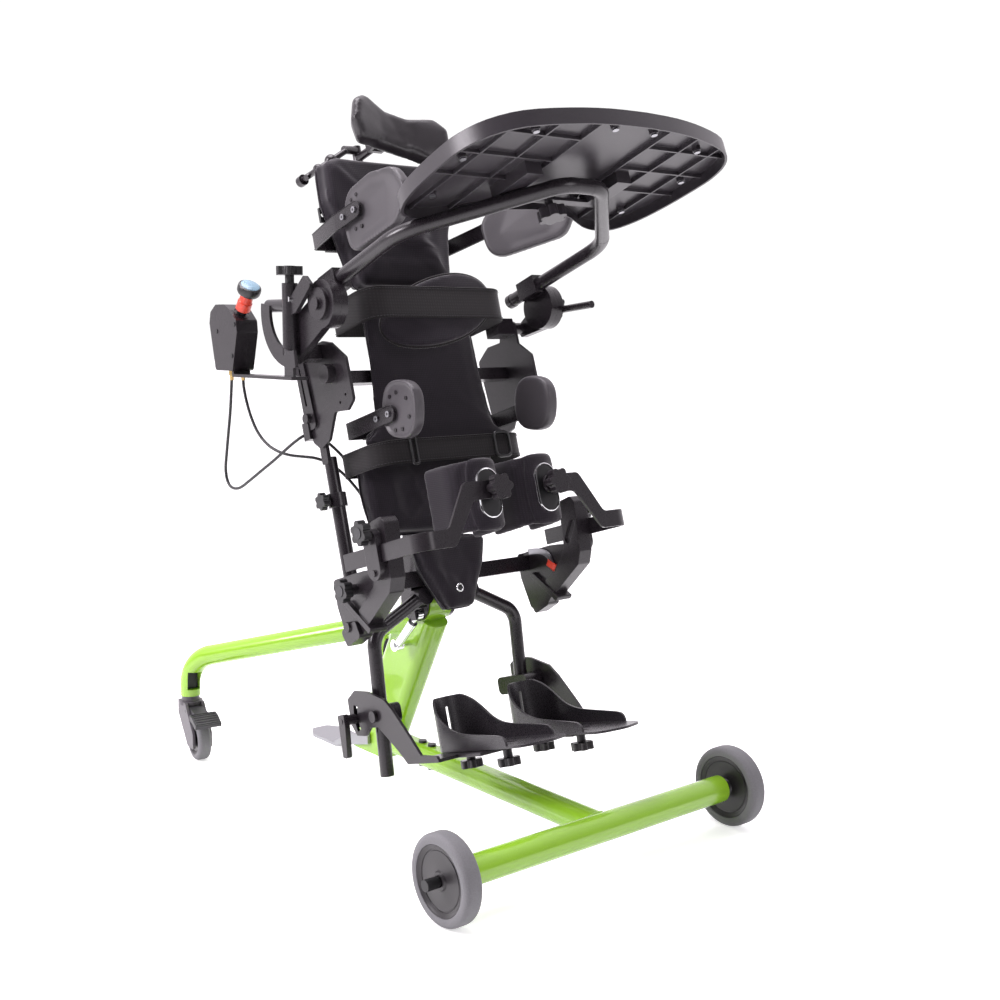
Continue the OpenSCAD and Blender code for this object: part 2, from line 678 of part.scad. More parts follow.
rib_x = [-186, -124, -62, 62, 124, 186];
rib_y = [-250, -190, -130];
rib_h = 6;
rib_from = 62;
tray_seat = tray_lo + tray_rim - 2 * deck_t - rib_h - 1;
boss_spots = [[-205, -176], [205, -176], [-150, -262], [150, -262], [-36, -290], [36, -290], [-180, -70],
    [180, -70], [-60, -96], [60, -96]];
tray_boss_r = 6;
module tray_outline(inset) {
    k = 1 - inset / 236;
    translate([0, -176 * inset / 236]) scale(k) polygon(tray_pts);
}
groove = 0.6;
module tray() color(black) tray_space() {
    top = tray_lo + tray_rim;
    difference() {
        translate([0, 0, tray_lo]) linear_extrude(tray_rim) tray_outline(0);
        translate([0, 0, tray_lo - 1]) linear_extrude(tray_rim - 2 * deck_t + 1) tray_outline(tray_wall + 1);
        translate([0, 0, top - deck_t]) linear_extrude(deck_t + 1) tray_outline(2 * tray_wall + 3);
        translate([0, 0, top - deck_t - groove]) linear_extrude(2 * groove) difference() {
            tray_outline(2 * tray_wall + 3);
            tray_outline(2 * tray_wall + 3 + 2 * groove);
        }
    }
    difference() {
        union() {
            intersection() {
                translate([0, 0, top - 2 * deck_t - rib_h]) linear_extrude(rib_h)
                    tray_outline(tray_wall + 1);
                union() {
                    for (x = rib_x) box([x - tray_wall / 2, -330, 0], [x + tray_wall / 2, 0, 60]);
                    for (y = rib_y) for (s = [left, right])
                        box([s > 0 ? rib_from : -240, y - tray_wall / 2, 0],
                        [s > 0 ? 240 : -rib_from, y + tray_wall / 2, 60]);
                }
            }
            for (p = boss_spots) translate([p[0], p[1], tray_seat])
                cylinder(h = rib_h + 1, r = tray_boss_r);
        }
        for (p = boss_spots) translate([p[0], p[1], tray_lo])
            cylinder(h = tray_seat + rib_h - 1 - tray_lo, r = screw_r + fine);
    }
    for (s = [left, right]) box([s > 0 ? 70 : -98, -176, tray_tube_r + 0.2],
        [s > 0 ? 98 : -70, -96, top - 2 * deck_t]);
    box([-98, -110, tray_tube_r + 0.2], [98, -96, tray_tube_r + 5]);
    translate([0, -103, tray_tube_r + 1]) mirror([0, 0, 1]) {
        cylinder(h = 12, r = 6);
        translate([0, 0, 12]) knob(21, 16);
    }
}
screw_r = 2;
screw_head = 4.5;
module tray_screws() color(steel) tray_space() {
    for (p = boss_spots) translate([p[0], p[1], tray_seat]) {
        translate([0, 0, -2.5]) cylinder(h = 2.5, r = screw_head);
        translate([0, 0, -1]) cylinder(h = rib_h - 0.5, r = screw_r);
    }
}

// Headrest on a jointed link that slides in the top of the post
head_back = -104;
head_front = -140;
head_z = 755;
head_arm_z = 764;
head_roll = 12;
head_half = [[34, -30], [72, -40], [94, -16], [90, 22], [70, 40], [24, 32]];
head_hinge = -86;
stem_w = 2 * cheek_in - 2 * tube_wall - 1;
stem_d = post_back - post_front - 2 * tube_wall - 1;
stem_y = (post_front + post_back) / 2;
module headrest_pad() color(graphite) tilt() translate([0, 0, head_z]) {
    rotate([0, head_roll, 0]) cushion(pad_outline(head_half, 12), head_back, head_front + 3, 12, 3, 1,
        0.004);
    translate([0, head_hinge, 0]) disc_x(-9, 9, 8);
    box([-8, head_back - 4, -7], [8, head_hinge, 7]);
}
module headrest_link() color(black) tilt() {
    box([-stem_w / 2, stem_y - stem_d / 2, post_hi - 120], [stem_w / 2, stem_y + stem_d / 2, post_hi + 40]);
    rod([0, stem_y, post_hi + 20], [0, stem_y, head_arm_z + 12], 8);
    rod([0, stem_y, head_z], [0, head_hinge + 14, head_z], 7);
    box([-15, head_hinge + 10, head_z - 9], [15, head_hinge + 18, head_z + 9]);
    for (s = [left, right]) {
        translate([0, head_hinge, head_z]) disc_x(s * 9.4, s * 15, 9);
        box([s > 0 ? 9.4 : -15, head_hinge, head_z - 9], [s > 0 ? 15 : -9.4, head_hinge + 12, head_z + 9]);
    }
    rod([0, stem_y, head_arm_z + 6], [-32, -30, head_arm_z], 7);
    rod([-24, -29, head_arm_z + 2], [-116, -30, head_arm_z - 55], 5);
    translate([-62, -30, head_arm_z - 22]) sphere(r = 11);
    translate([-90, -30, head_arm_z - 39]) sphere(r = 9);
    translate([-108, -52, head_arm_z - 50]) rotate([-90, 0, 0]) cylinder(h = 46, r = 4.6);
    translate([-108, -10, head_arm_z - 50]) rotate([-90, 0, 0]) cylinder(h = 12, r = 9);
}

// Trunk guides and hip guides: a moulded pad screwed to a flat bent bar
bar_t = 5;
bar_h = 26;
module guide(x, z, reach, shape, thick, slot_y, holes, toe, bend, flare) {
    inner = x + thick / 2 - 1.5;
    bend_at = [inner + bar_t / 2, toe_at, 0];
    translate(bend_at) rotate(flare) translate(-bend_at) {
        difference() {
            translate([x, 0, z]) rotate([0, 0, -90])
                cushion(shape, thick / 2, 2 - thick / 2, 5, 2, 0.5, bend);
            for (p = holes) translate([0, p[0], z + p[1]]) disc_x(0, 400, guide_hole_r);
        }
        box([inner, -reach, z - bar_h / 2], [inner + bar_t, toe_at, z + bar_h / 2]);
    }
    translate([bend_at[0], toe_at, z - bar_h / 2]) cylinder(h = bar_h, r = bar_t / 2 - fine);
    translate([0, 0, z - bar_h / 2]) linear_extrude(bar_h) polygon([[inner + bar_t, toe_at],
        [inner + bar_t - toe, slot_y], [bar_end, slot_y], [bar_end, slot_y - bar_t],
        [inner - toe, slot_y - bar_t], [inner, toe_at]]);
}
bar_end = 50;
toe_at = -136;
guide_hole_r = 2.6;
trunk_x = 136;
trunk_z = 592;
trunk_t = 18;
trunk_reach = 206;
trunk_slot = -44;
trunk_flare = 28;
trunk_shape = rounded([[148, -57], [284, -52], [314, -8], [293, 32], [238, 42], [172, 38], [140, 6]], 32);
trunk_holes = [[-176, -24], [-194, -26], [-176, 22], [-194, 24]];
hip_x = 131;
hip_z = 276;
hip_pad_t = 20;
hip_reach = 196;
hip_slot = -58;
hip_shape = full_oval([204, 2], 44, lean, 36);
hip_holes = [[-184, -26], [-202, -28], [-184, 26], [-202, 28]];
module lateral(s) color(graphite) tilt() mirror([s > 0 ? 0 : 1, 0, 0]) {
    guide(trunk_x, trunk_z, trunk_reach, trunk_shape, trunk_t, trunk_slot, trunk_holes, 12, 0.001,
        s > 0 ? trunk_flare : 0);
}
module hip_guide(s) color(graphite) tilt() mirror([s > 0 ? 0 : 1, 0, 0]) {
    guide(hip_x, hip_z, hip_reach, hip_shape, hip_pad_t, hip_slot, hip_holes, 0, 0, 0);
}
module lateral_left() {
    lateral(left);
}
module lateral_right() {
    lateral(right);
}
module hip_guide_left() {
    hip_guide(left);
}
module hip_guide_right() {
    hip_guide(right);
}

// Knee supports: a cast bracket on the cross tube, a bent flat bar and a wrap-round pad
knee_bar_z = 69;
knee_bar_h = 26;
knee_bar_t = 5;
knee_front = -292;
knee_rear = -88;
knee_z = 134;
bracket_in = cross_end;
bracket_out = bracket_in + 22;
knee_bar_x = bracket_out + 3;
clip_y = -174;
clip_w = 34;
clip_h = 76;
clip_bolt_z = 42;
clip_knob_z = 103;
clip_out = knee_bar_x + knee_bar_t / 2 + free_gap + 6;
bracket_arm = [[-203, 112], [-196, 30], [-186, 10], [-114, -30], [-94, -6], [-146, 24], [-159, 44],
    [-166, 118],
    [-196, 122]];
bracket_web = [[-31, 50], [-31, 8], [-44, -46], [-84, -46], [-112, -24], [-150, 20], [-158, 48], [-120, 52]];
bracket_shoe = [[-40, -30], [-52, -56], [-92, -44], [-84, -18]];
bracket_lip = [[-70, 14], [-64, 8], [-118, -42], [-125, -36]];
module knee_bracket(s) color(graphite) tilt() {
    bar_lo = knee_bar_z - knee_bar_h / 2 - free_gap;
    bar_hi = knee_bar_z + knee_bar_h / 2 + free_gap;
    bar_in = knee_bar_x - knee_bar_t / 2 - free_gap;
    bar_out = knee_bar_x + knee_bar_t / 2 + free_gap;
    arm_in = bracket_in - 4;
    difference() {
        plate_x(s * arm_in, s * bracket_out) polygon(rounded(bracket_arm, 6));
        plate_x(s * (arm_in - 1), s * (arm_in + 3)) translate([-180, 66]) rotate(-54) stadium(42, 14);
    }
    difference() {
        plate_x(s * bracket_in, s * (bracket_out - 5)) polygon(rounded(bracket_web, 7));
        translate([-s * strut_x, strut_y, strut_lo - 1]) cylinder(h = 20, r = strut_r + free_gap);
    }
    plate_x(s * bracket_in, s * (bracket_out + 2)) polygon(rounded(bracket_shoe, 6));
    plate_x(s * (arm_in - 3), s * (bracket_out + 3)) polygon(rounded(bracket_lip, 2));
    difference() {
        plate_x(s * bracket_out, s * clip_out) translate([clip_y, knee_bar_z]) rotate(90)
            stadium(clip_h, clip_w);
        box([s > 0 ? bar_in : -bar_out, clip_y - 40, bar_lo],
            [s > 0 ? bar_out : -bar_in, clip_y + 40, bar_hi]);
    }
    translate([0, clip_y, clip_bolt_z]) disc_x(s * clip_out, s * (clip_out + 3), 5);
    for (p = [[-92, 28], [-62, -26]]) translate([0, p[0], p[1]])
        disc_x(s * (bracket_out - 6), s * (bracket_out + 5), 8);
}
module knee_bar(s) color(graphite) tilt() {
    lo = knee_bar_z - knee_bar_h / 2;
    hi = knee_bar_z + knee_bar_h / 2;
    out = knee_bar_x + knee_bar_t / 2;
    turn = 26;
    box([s > 0 ? knee_bar_x - knee_bar_t / 2 : -out, knee_front + turn, lo],
        [s > 0 ? out : -knee_bar_x + knee_bar_t / 2, knee_rear, hi]);
    mirror([s > 0 ? 0 : 1, 0, 0]) translate([out - turn, knee_front + turn, lo]) rotate([0, 0, -90])
        rotate_extrude(angle = 90) translate([turn - knee_bar_t, 0]) square([knee_bar_t, knee_bar_h]);
    edge = softened([[out - turn, lo], [144, lo], [100, 119], [knee_half - 15, 121], [knee_half - 15, 147],
        [112, 147], [152, hi], [out - turn, hi]], 11);
    plate_y(knee_front, knee_front + knee_bar_t) polygon([for (p = edge) [s * p[0], p[1]]]);
    translate([s * knee_half, knee_front, knee_z]) rotate([90, 0, 0]) {
        cylinder(h = 6, r = 10);
        translate([0, 0, 6]) knob(20, 14);
    }
    translate([s * knee_half, knee_front + knee_bar_t + 9, knee_z]) rotate([90, 0, 0])
        cylinder(h = 9, r = 5);
}
pad_in = 31;
pad_t = 18;
knee_h = 112;
pad_front = knee_front + knee_bar_t + 10;
module knee_pad(s) color(fabric) tilt() translate([s * knee_half, 0, knee_z - 4]) {
    arc_y = pad_front + pad_in + pad_t;
    translate([0, arc_y, 0]) rotate([0, 0, 180]) rotate_extrude(angle = 180)
        translate([pad_in + pad_t / 2, 0])
        rotate(90) stadium(knee_h, pad_t);
    for (t = [left, right]) translate([t * (pad_in + pad_t / 2), arc_y, 0]) rotate([-90, 0, 0])
        linear_extrude(48) rotate(90) stadium(knee_h, pad_t);
    difference() {
        plate_y(pad_front - 1, pad_front + 7) rotate(90) stadium(76, 40);
        translate([0, pad_front, 4]) rotate([90, 0, 0]) cylinder(h = 40, r = 5 + run_gap, center = true);
    }
}
module knee_bracket_left() {
    knee_bracket(left);
}
module knee_bracket_right() {
    knee_bracket(right);
}
module knee_bar_left() {
    knee_bar(left);
}
module knee_bar_right() {
    knee_bar(right);
}
module knee_pad_left() {
    knee_pad(left);
}
module knee_pad_right() {
    knee_pad(right);
}

// Leg tubes on hubs under the cross tube
leg_tube_r = 11;
leg_x = 144;
leg_top = [leg_x, -38, -44];
leg_low = [leg_x, -10, -263];
hub_front = -60;
hub_back = post_front - 0.3;
hub_r2 = 15;
module leg_tube(s) color(black) tilt() {
    hub_mid = (hub_front + hub_back) / 2;
    difference() {
        union() {
            translate([s * hub_x, hub_back, hub_z]) rotate([90, 0, 0])
                cylinder(h = hub_back - hub_front, r = hub_r2);
            bent_tube([[s * hub_x, hub_mid, hub_z], [s * leg_top[0], leg_top[1], leg_top[2]],
                [s * leg_low[0], leg_low[1], leg_low[2]]], [34], leg_tube_r);
        }
        translate([s * hub_x, 0, hub_z]) rotate([90, 0, 0]) cylinder(h = 200, r = hub_pin_r + run_gap);
    }
}
module leg_tube_left() {
    leg_tube(left);
}
module leg_tube_right() {
    leg_tube(right);
}

// Foot supports: a clamp on the leg tube, a slotted swing plate with its strap, and the foot plate
leg_axis = unit(leg_low - leg_top);
foot_dip = 2;
module foot_place(s) {
    tilt() translate([0, swing_y, swing_z]) rotate([s > 0 ? foot_dip : 0, 0, 0])
        translate([0, -swing_y, -swing_z]) children();
}
swing_y = -44;
swing_z = -167;
swing_in = 165;
swing_t = 5;
swing_pin_r = 5;
lever_r = 54;
module leg_bore(s, r) {
    rod([s * leg_x, leg_top[1] - leg_axis[1] * 80, leg_top[2] - leg_axis[2] * 80],
        [s * leg_x, leg_low[1] + leg_axis[1] * 80, leg_low[2] + leg_axis[2] * 80], r);
}
module foot_clamp(s) color(black) tilt() {
    difference() {
        plate_x(s * (leg_x - 16), s * (swing_in - free_gap)) translate([0, swing_z])
            polygon(rounded([[-56, -15], [-56, 15], [22, 15], [22, -15]], 9));
        leg_bore(s, leg_tube_r + run_gap);
    }
    translate([0, swing_y, swing_z]) {
        disc_x(s * (swing_in - 2), s * (swing_in + swing_t + 4), swing_pin_r);
        disc_x(s * (swing_in + swing_t + free_gap), s * (swing_in + swing_t + 6), swing_pin_r + 4);
    }
    translate([0, swing_y + lever_r, swing_z]) {
        disc_x(s * (swing_in - 2), s * (swing_in + 34), 4.5);
        disc_x(s * (swing_in + swing_t + 3), s * (swing_in + 24), 8);
        plate_x(s * (swing_in + 24), s * (swing_in + 33))
            polygon(rounded([[-9, -8], [-9, 10], [9, 10], [9, -8], [12, -56],
            [0, -58]], 3));
    }
}
foot_floor = -237;
strap_lo = foot_floor - 6;
foot_heel = -98;
foot_toe = -334;
foot_w = 46;
sole_stem = 13;
function sector(c, r0, r1, a0, a1, n) = concat([for (i = [0:n]) c + r1 * [cos(a0 + (a1 - a0) * i / n),
    sin(a0 + (a1 - a0) * i / n)]], [for (i = [n:-1:0])
        c + r0 * [cos(a0 + (a1 - a0) * i / n), sin(a0 + (a1 - a0) * i / n)]]);
module foot_arm(s) color(graphite) foot_place(s) {
    hub = [swing_y, swing_z];
    difference() {
        plate_x(s * swing_in, s * (swing_in + swing_t)) polygon(rounded([[-30, -128], [4, -124],
            [27, -136], [28, -176], [16, -194], [-10, -196], [-24, -184], [-48, -184], [-92, -222],
            [-112, strap_lo], [-190, strap_lo], [-190, strap_lo + 9], [-148, strap_lo + 12], [-128, -204],
            [-93, -161], [-74, -143]], 4));
        translate([0, swing_y, swing_z]) disc_x(-300, 300, swing_pin_r + run_gap);
        plate_x(s * (swing_in - 1), s * (swing_in + swing_t + 1))
            polygon(sector(hub, lever_r - 5.2, lever_r + 5.2, -21, 21, 12));
    }
    difference() {
        box([s > 0 ? foot_half - 30 : -swing_in - swing_t, -246, strap_lo],
            [s > 0 ? swing_in + swing_t : -foot_half + 30, -126, strap_lo + 5]);
        box([s > 0 ? foot_half + foot_w + 14 : -swing_in - 20, -300, strap_lo - 1],
            [s > 0 ? swing_in + 20 : -foot_half - foot_w - 14, -192, strap_lo + 6]);
    }
    for (y = [-140, -232]) translate([s * foot_half, y, strap_lo]) mirror([0, 0, 1]) {
        cylinder(h = sole_stem, r = 7);
        translate([0, 0, sole_stem]) knob(18, 12);
    }
}
module sole(inset) {
    w = foot_w - inset;
    heel_y = foot_heel - foot_w;
    translate([0, heel_y]) circle(r = w);
    polygon(softened([[-w, heel_y], [-w, foot_toe + inset + 10], [0, foot_toe + inset - 4],
        [w, foot_toe + inset + 10], [w, heel_y]], 26, 8));
}
wall_t = 3.5;
heel_h = 80;
foot_edge = smooth([[-40, 88], [-88, 88], [-104, 81], [-117, 71], [-128, 60], [-142, 47], [-158, 36],
    [-176, 29],
    [-198, 25], [-234, 22], [-272, 19], [-284, 16], [-289, 10], [-290, wall_t]], 3);
module footplate(s) color(black) foot_place(s) translate([s * foot_half, 0, foot_floor]) {
    difference() {
        linear_extrude(heel_h) sole(0);
        translate([0, 0, wall_t]) linear_extrude(heel_h) sole(wall_t);
        plate_x(-80, 80) polygon(concat(foot_edge, [[foot_toe - 20, wall_t], [foot_toe - 20, heel_h + 20],
            [foot_edge[0][0], heel_h + 20]]));
        translate([-3, foot_heel - 10, 14]) cube([6, 20, 50]);
        translate([0, foot_heel - 140, -1]) linear_extrude(10) rotate(90) stadium(34, 10);
        for (x = [-24, 24]) for (y = [-112, -172]) translate([x, foot_heel + y, -1]) linear_extrude(10)
            rotate(90)
            stadium(16, 5);
    }
}
module foot_clamp_left() {
    foot_clamp(left);
}
module foot_clamp_right() {
    foot_clamp(right);
}
module foot_arm_left() {
    foot_arm(left);
}
module foot_arm_right() {
    foot_arm(right);
}
module footplate_left() {
    footplate(left);
}
module footplate_right() {
    footplate(right);
}

// Telescopic strut on the left side
strut_y = -46;
strut_lo = cross_z + cross_s / 2;
strut_mid = 172;
strut_hi = 240;
strut_r = 11;
strut_collar_r = 15;
module strut() color(black) tilt() translate([strut_x, strut_y, 0]) {
    translate([0, 0, strut_lo]) cylinder(h = strut_mid - strut_lo, r = strut_r);
    translate([0, 0, strut_mid - 11]) cylinder(h = 22, r = strut_collar_r);
    translate([0, 0, strut_mid]) cylinder(h = strut_hi - strut_mid, r = 10);
    plate_x(-plate_in - strut_x, -plate_in - strut_x + 6)
        polygon(rounded([[-9, strut_hi - 10], [9, strut_hi - 10], [9, 282], [-9, 282]], 4));
}

// Hand control at the left: bracket, box and push knob
ctl_x = post_foot[0];
ctl_tube_z = 478;
post_line_y = post_foot[1] * cos(lean) + post_foot[2] * sin(lean);
post_line_z = post_foot[2] * cos(lean) - post_foot[1] * sin(lean);
ring_y = 14;
ring_z = 470;
ring_in = 60;
ring_out = 86;
strip_z = 366;
strip_end = 192;
box_floor = 376;
box_side = [[181, box_floor], [164, 438], [166, 456], [186, 473], [206, 482], [234, 482], [252, 470],
    [256, 452],
    [238, box_floor]];
module control_bracket() color(graphite) tilt_level() {
    difference() {
        union() {
            rod([ctl_x, post_line_y, ctl_tube_z], [ctl_x, ring_y + ring_in + 20, ctl_tube_z], 10);
            plate_x(ctl_x - 12, ctl_x - 7) polygon(sector([ring_y, ring_z], ring_in, ring_out, -100, 8, 20));
        }
        translate([ctl_x, post_line_y, post_line_z - fine]) cylinder(h = 2 * post_h, r = post_r + run_gap);
    }
    box([ctl_x - 12, ring_y - 8, strip_z], [ctl_x - 7, ring_y + 18, ring_z - ring_in - 20]);
    box([ctl_x - 15, ring_y - 8, strip_z], [ctl_x + 15, strip_end, strip_z + 5]);
    box([ctl_x - 15, strip_end - 5, strip_z], [ctl_x + 15, strip_end, box_floor]);
}
push_r = 7;
collar_r = 12;
knob_dir = unit([0, -0.58, 0.81]);
knob_base = [ctl_x - 1, 186, 462];
module control_box() color(graphite) tilt_level() {
    difference() {
        plate_x(ctl_x - 20, ctl_x + 18) polygon(rounded(box_side, 6));
        rod(knob_base - knob_dir * 30, knob_base + knob_dir * 40, push_r + free_gap);
        rod(knob_base + knob_dir * 7, knob_base + knob_dir * 40, collar_r + free_gap);
    }
    for (r = cable_routes) translate([r[0][0], r[0][1], r[0][2]])
        cylinder(h = box_floor - r[0][2] + 0.5, r = 4);
}
module control_knob() color(red) tilt_level() {
    rod(knob_base - knob_dir * 20, knob_base + knob_dir * 24, push_r);
    rod(knob_base + knob_dir * 14, knob_base + knob_dir * 44, collar_r);
    rod(knob_base + knob_dir * 44, knob_base + knob_dir * 62, 19);
}

// Two control cables from the box to the clip on the side plate
cable_r = 2.4;
cord_side = [1, 1, 1];
cable_routes = [
    [[-238, 214, 368], [-238, 216, 350], [-238, 222, 310], [-238, 230, 275], [-238, 238, 240],
        [-238, 243, 215], [-237, 242, 197], [-236, 234, 185], [-234, 220, 181], [-232, 202, 185],
        [-229, 180, 197], [-224, 150, 215], [-216, 118, 236], [-206, 92, 257], [-196, 76, 271],
        [-184, 71, 277], [-168, 73, 274], [-148, 72, 264], [-122, 68, 240], [-94, 60, 205],
        [-66, 48, 160], [-52, 36, 115], [-46, 27, 88], [-40, 23, 77], [-32, 22, 75]],
    [[-226, 198, 368], [-226, 197, 350], [-225, 190, 325], [-223, 178, 298], [-220, 162, 275],
        [-215, 142, 258], [-208, 120, 248], [-198, 100, 243], [-184, 86, 241], [-166, 76, 238],
        [-144, 68, 228], [-118, 60, 205], [-90, 52, 168], [-66, 40, 122], [-54, 30, 82],
        [-47, 22, 55], [-40, 18, 43], [-32, 17, 41]]];
module cord(path, r, sides) {
    last = len(path) - 1;
    pts = [for (i = [0:last]) let (t = unit(at(path, i + 1) - at(path, i - 1)),
        u = unit(cross(t, cord_side)),
        w = cross(t, u)) for (k = [0:sides - 1]) path[i] + r * (u * cos(k * 360 / sides)
            + w * sin(k * 360 / sides))];
    wall = [for (i = [0:last - 1]) for (k = [0:sides - 1])
        let (a = i * sides + k, b = i * sides + (k + 1) % sides)
            each [[a, b + sides, b], [a, a + sides, b + sides]]];
    ends = [for (k = [1:sides - 2]) each [[0, k, k + 1],
        [last * sides, last * sides + k + 1, last * sides + k]]];
    polyhedron(points = pts, faces = concat(wall, ends), convexity = 6);
}
module control_cables() color(black) tilt_level() {
    for (r = cable_routes) cord(smooth(r, 2), cable_r, 8);
}

// Hand knobs that lock the clamps
module knob(r, h) {
    lobe = r * 0.3;
    cylinder(h = h, r = r * 0.78);
    for (a = [0:60:300]) rotate(a) translate([r - lobe, 0, 0]) cylinder(h = h, r = lobe);
}
module star_knobs() color(black) tilt() {
    for (s = [left, right]) {
        translate([s * clip_out, clip_y, clip_knob_z]) rotate([0, s * 90, 0]) {
            cylinder(h = 4, r = 8);
            translate([0, 0, 4]) knob(19, 13);
        }
        translate([s * (bracket_out + 5), -92, 28]) rotate([0, s * 90, 0]) {
            cylinder(h = 6, r = 8);
            translate([0, 0, 6]) knob(18, 13);
        }
    }
    translate([strut_x - strut_collar_r, strut_y, strut_mid]) rotate([0, -90, 0]) {
        cylinder(h = 8, r = 5);
        translate([0, 0, 7]) knob(14, 10);
    }
    translate(post_foot) rotate([lean, 0, 0]) translate([0, 0, post_h]) {
        cylinder(h = 12, r = 7);
        translate([0, 0, 12]) knob(22, 13);
    }
    translate([clamp_out + 6, clamp_y, clamp_z]) rotate([0, 90, 0]) translate([0, 0, 5]) knob(18, 12);
}

front_crossbar();
spine_tube();
mast();
rear_leg_left();
rear_leg_right();
base_bolts();
front_wheel_left();
front_wheel_right();
caster_fork_left();
caster_wheel_left();
caster_pedal_left();
caster_fork_right();
caster_wheel_right();
caster_pedal_right();
foot_pedal();
gas_cylinder();
gas_rod();
tilt_head();
back_post();
cross_tube();
calf_pad();
leg_pad();
hip_pad();
torso_pad();
pad_shells();
chest_strap();
hip_strap();
side_plate_left();
side_plate_right();
arm_clamps();
strut();
control_bracket();
control_box();
control_knob();
control_cables();
tray_clamps();
tray_tube();
tray();
tray_screws();
headrest_pad();
headrest_link();
lateral_left();
lateral_right();
hip_guide_left();
hip_guide_right();
knee_bracket_left();
knee_bracket_right();
knee_bar_left();
knee_bar_right();
knee_pad_left();
knee_pad_right();
leg_tube_left();
leg_tube_right();
foot_clamp_left();
foot_clamp_right();
foot_arm_left();
foot_arm_right();
footplate_left();
footplate_right();
star_knobs();
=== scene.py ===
import math

import bmesh
import bpy
from mathutils import Matrix, Vector


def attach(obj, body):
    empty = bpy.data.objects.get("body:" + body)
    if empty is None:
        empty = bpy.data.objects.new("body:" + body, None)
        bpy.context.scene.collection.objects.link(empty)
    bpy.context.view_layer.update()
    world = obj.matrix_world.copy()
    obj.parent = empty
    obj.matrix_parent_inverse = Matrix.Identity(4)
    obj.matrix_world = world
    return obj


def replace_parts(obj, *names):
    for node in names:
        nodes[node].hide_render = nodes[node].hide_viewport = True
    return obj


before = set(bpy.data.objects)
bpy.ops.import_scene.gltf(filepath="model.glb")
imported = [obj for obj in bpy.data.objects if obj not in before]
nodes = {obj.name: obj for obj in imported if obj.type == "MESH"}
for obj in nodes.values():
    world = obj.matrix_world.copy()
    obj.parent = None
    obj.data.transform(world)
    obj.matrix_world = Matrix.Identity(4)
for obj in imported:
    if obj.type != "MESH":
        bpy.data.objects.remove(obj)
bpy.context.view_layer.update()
scene = bpy.context.scene


# CAMERA
# A plain lens on a tripod, in front of the frame and to its left.
# Its place was worked out from the wheels, the tray and the feet of the frame.
yaw, pitch, roll = math.radians(39.572), math.radians(-7.386), math.radians(0.08)
ahead = Vector((math.sin(yaw) * math.cos(pitch), math.cos(yaw) * math.cos(pitch), math.sin(pitch)))
level_right = Vector((math.cos(yaw), -math.sin(yaw), 0))
level_up = level_right.cross(ahead)
right = level_right * math.cos(roll) + level_up * math.sin(roll)
up = right.cross(ahead)
lens = bpy.data.cameras.new("camera")
lens.sensor_width = 36
lens.lens = 47.05
lens.clip_end = 60
camera = bpy.data.objects.new("camera", lens)
camera.matrix_world = Matrix((
    (right.x, up.x, -ahead.x, -1.26397),
    (right.y, up.y, -ahead.y, -1.70230),
    (right.z, up.z, -ahead.z, 0.77274),
    (0, 0, 0, 1)))
scene.collection.objects.link(camera)
scene.camera = camera


# CONTROL CABLES
# Two thin sheathed wires from the hand control. They hang in a bow under the box and run behind
# the pads to the tilting head, where they pull the release of the gas spring.
def surface(name, colour, rough, grain, depth, metal=0.0, coat=0.0, fleck=0.10, edge=0.0):
    """A finish whose colour, gloss and relief follow a fine grain in the piece's own space."""
    made = bpy.data.materials.new(name)
    made.use_nodes = True
    tree = made.node_tree
    shader = tree.nodes["Principled BSDF"]
    shader.inputs["Metallic"].default_value = metal
    shader.inputs["Coat Weight"].default_value = coat
    shader.inputs["Coat Roughness"].default_value = 0.06
    coords = tree.nodes.new("ShaderNodeTexCoord")
    noise = tree.nodes.new("ShaderNodeTexNoise")
    noise.inputs["Scale"].default_value = grain
    noise.inputs["Detail"].default_value = 4
    tree.links.new(coords.outputs["Object"], noise.inputs["Vector"])
    ramp = tree.nodes.new("ShaderNodeValToRGB")
    for stop, side in zip(ramp.color_ramp.elements, (-1, 1)):
        stop.position = 0.5 + 0.2 * side
        stop.color = [max(0, c * (1 + side * fleck)) for c in colour] + [1]
    tree.links.new(noise.outputs["Fac"], ramp.inputs["Fac"])
    tree.links.new(ramp.outputs["Color"], shader.inputs["Base Color"])
    gloss = tree.nodes.new("ShaderNodeMapRange")
    gloss.inputs["From Min"].default_value = 0.3
    gloss.inputs["From Max"].default_value = 0.7
    gloss.inputs["To Min"].default_value = rough * 0.85
    gloss.inputs["To Max"].default_value = min(1, rough * 1.15)
    tree.links.new(noise.outputs["Fac"], gloss.inputs["Value"])
    tree.links.new(gloss.outputs["Result"], shader.inputs["Roughness"])
    bump = tree.nodes.new("ShaderNodeBump")
    bump.inputs["Strength"].default_value = 0.6
    bump.inputs["Distance"].default_value = depth
    tree.links.new(noise.outputs["Fac"], bump.inputs["Height"])
    tree.links.new(bump.outputs["Normal"], shader.inputs["Normal"])
    if edge:
        soft = tree.nodes.new("ShaderNodeBevel")
        soft.samples = 4
        soft.inputs["Radius"].default_value = edge
        tree.links.new(soft.outputs["Normal"], bump.inputs["Normal"])
    return made


def eased(points, steps):
    """The same points with a smooth line drawn through them."""
    line = []
    last = len(points) - 1
    for i in range(last):
        a, b, c, d = (Vector(points[min(last, max(0, k))]) for k in (i - 1, i, i + 1, i + 2))
        for k in range(steps):
            t = k / steps
            line.append((2 * b + t * (c - a) + t * t * (2 * a - 5 * b + 4 * c - d)
                         + t ** 3 * (3 * b - a - 3 * c + d)) / 2)
    return line + [Vector(points[last])]


def level(x, y, z):
    """A point given in millimetres from the tilt pivot, in the level frame."""
    return Vector((x / 1000, (y + pivot_y) / 1000, (z + pivot_z) / 1000))


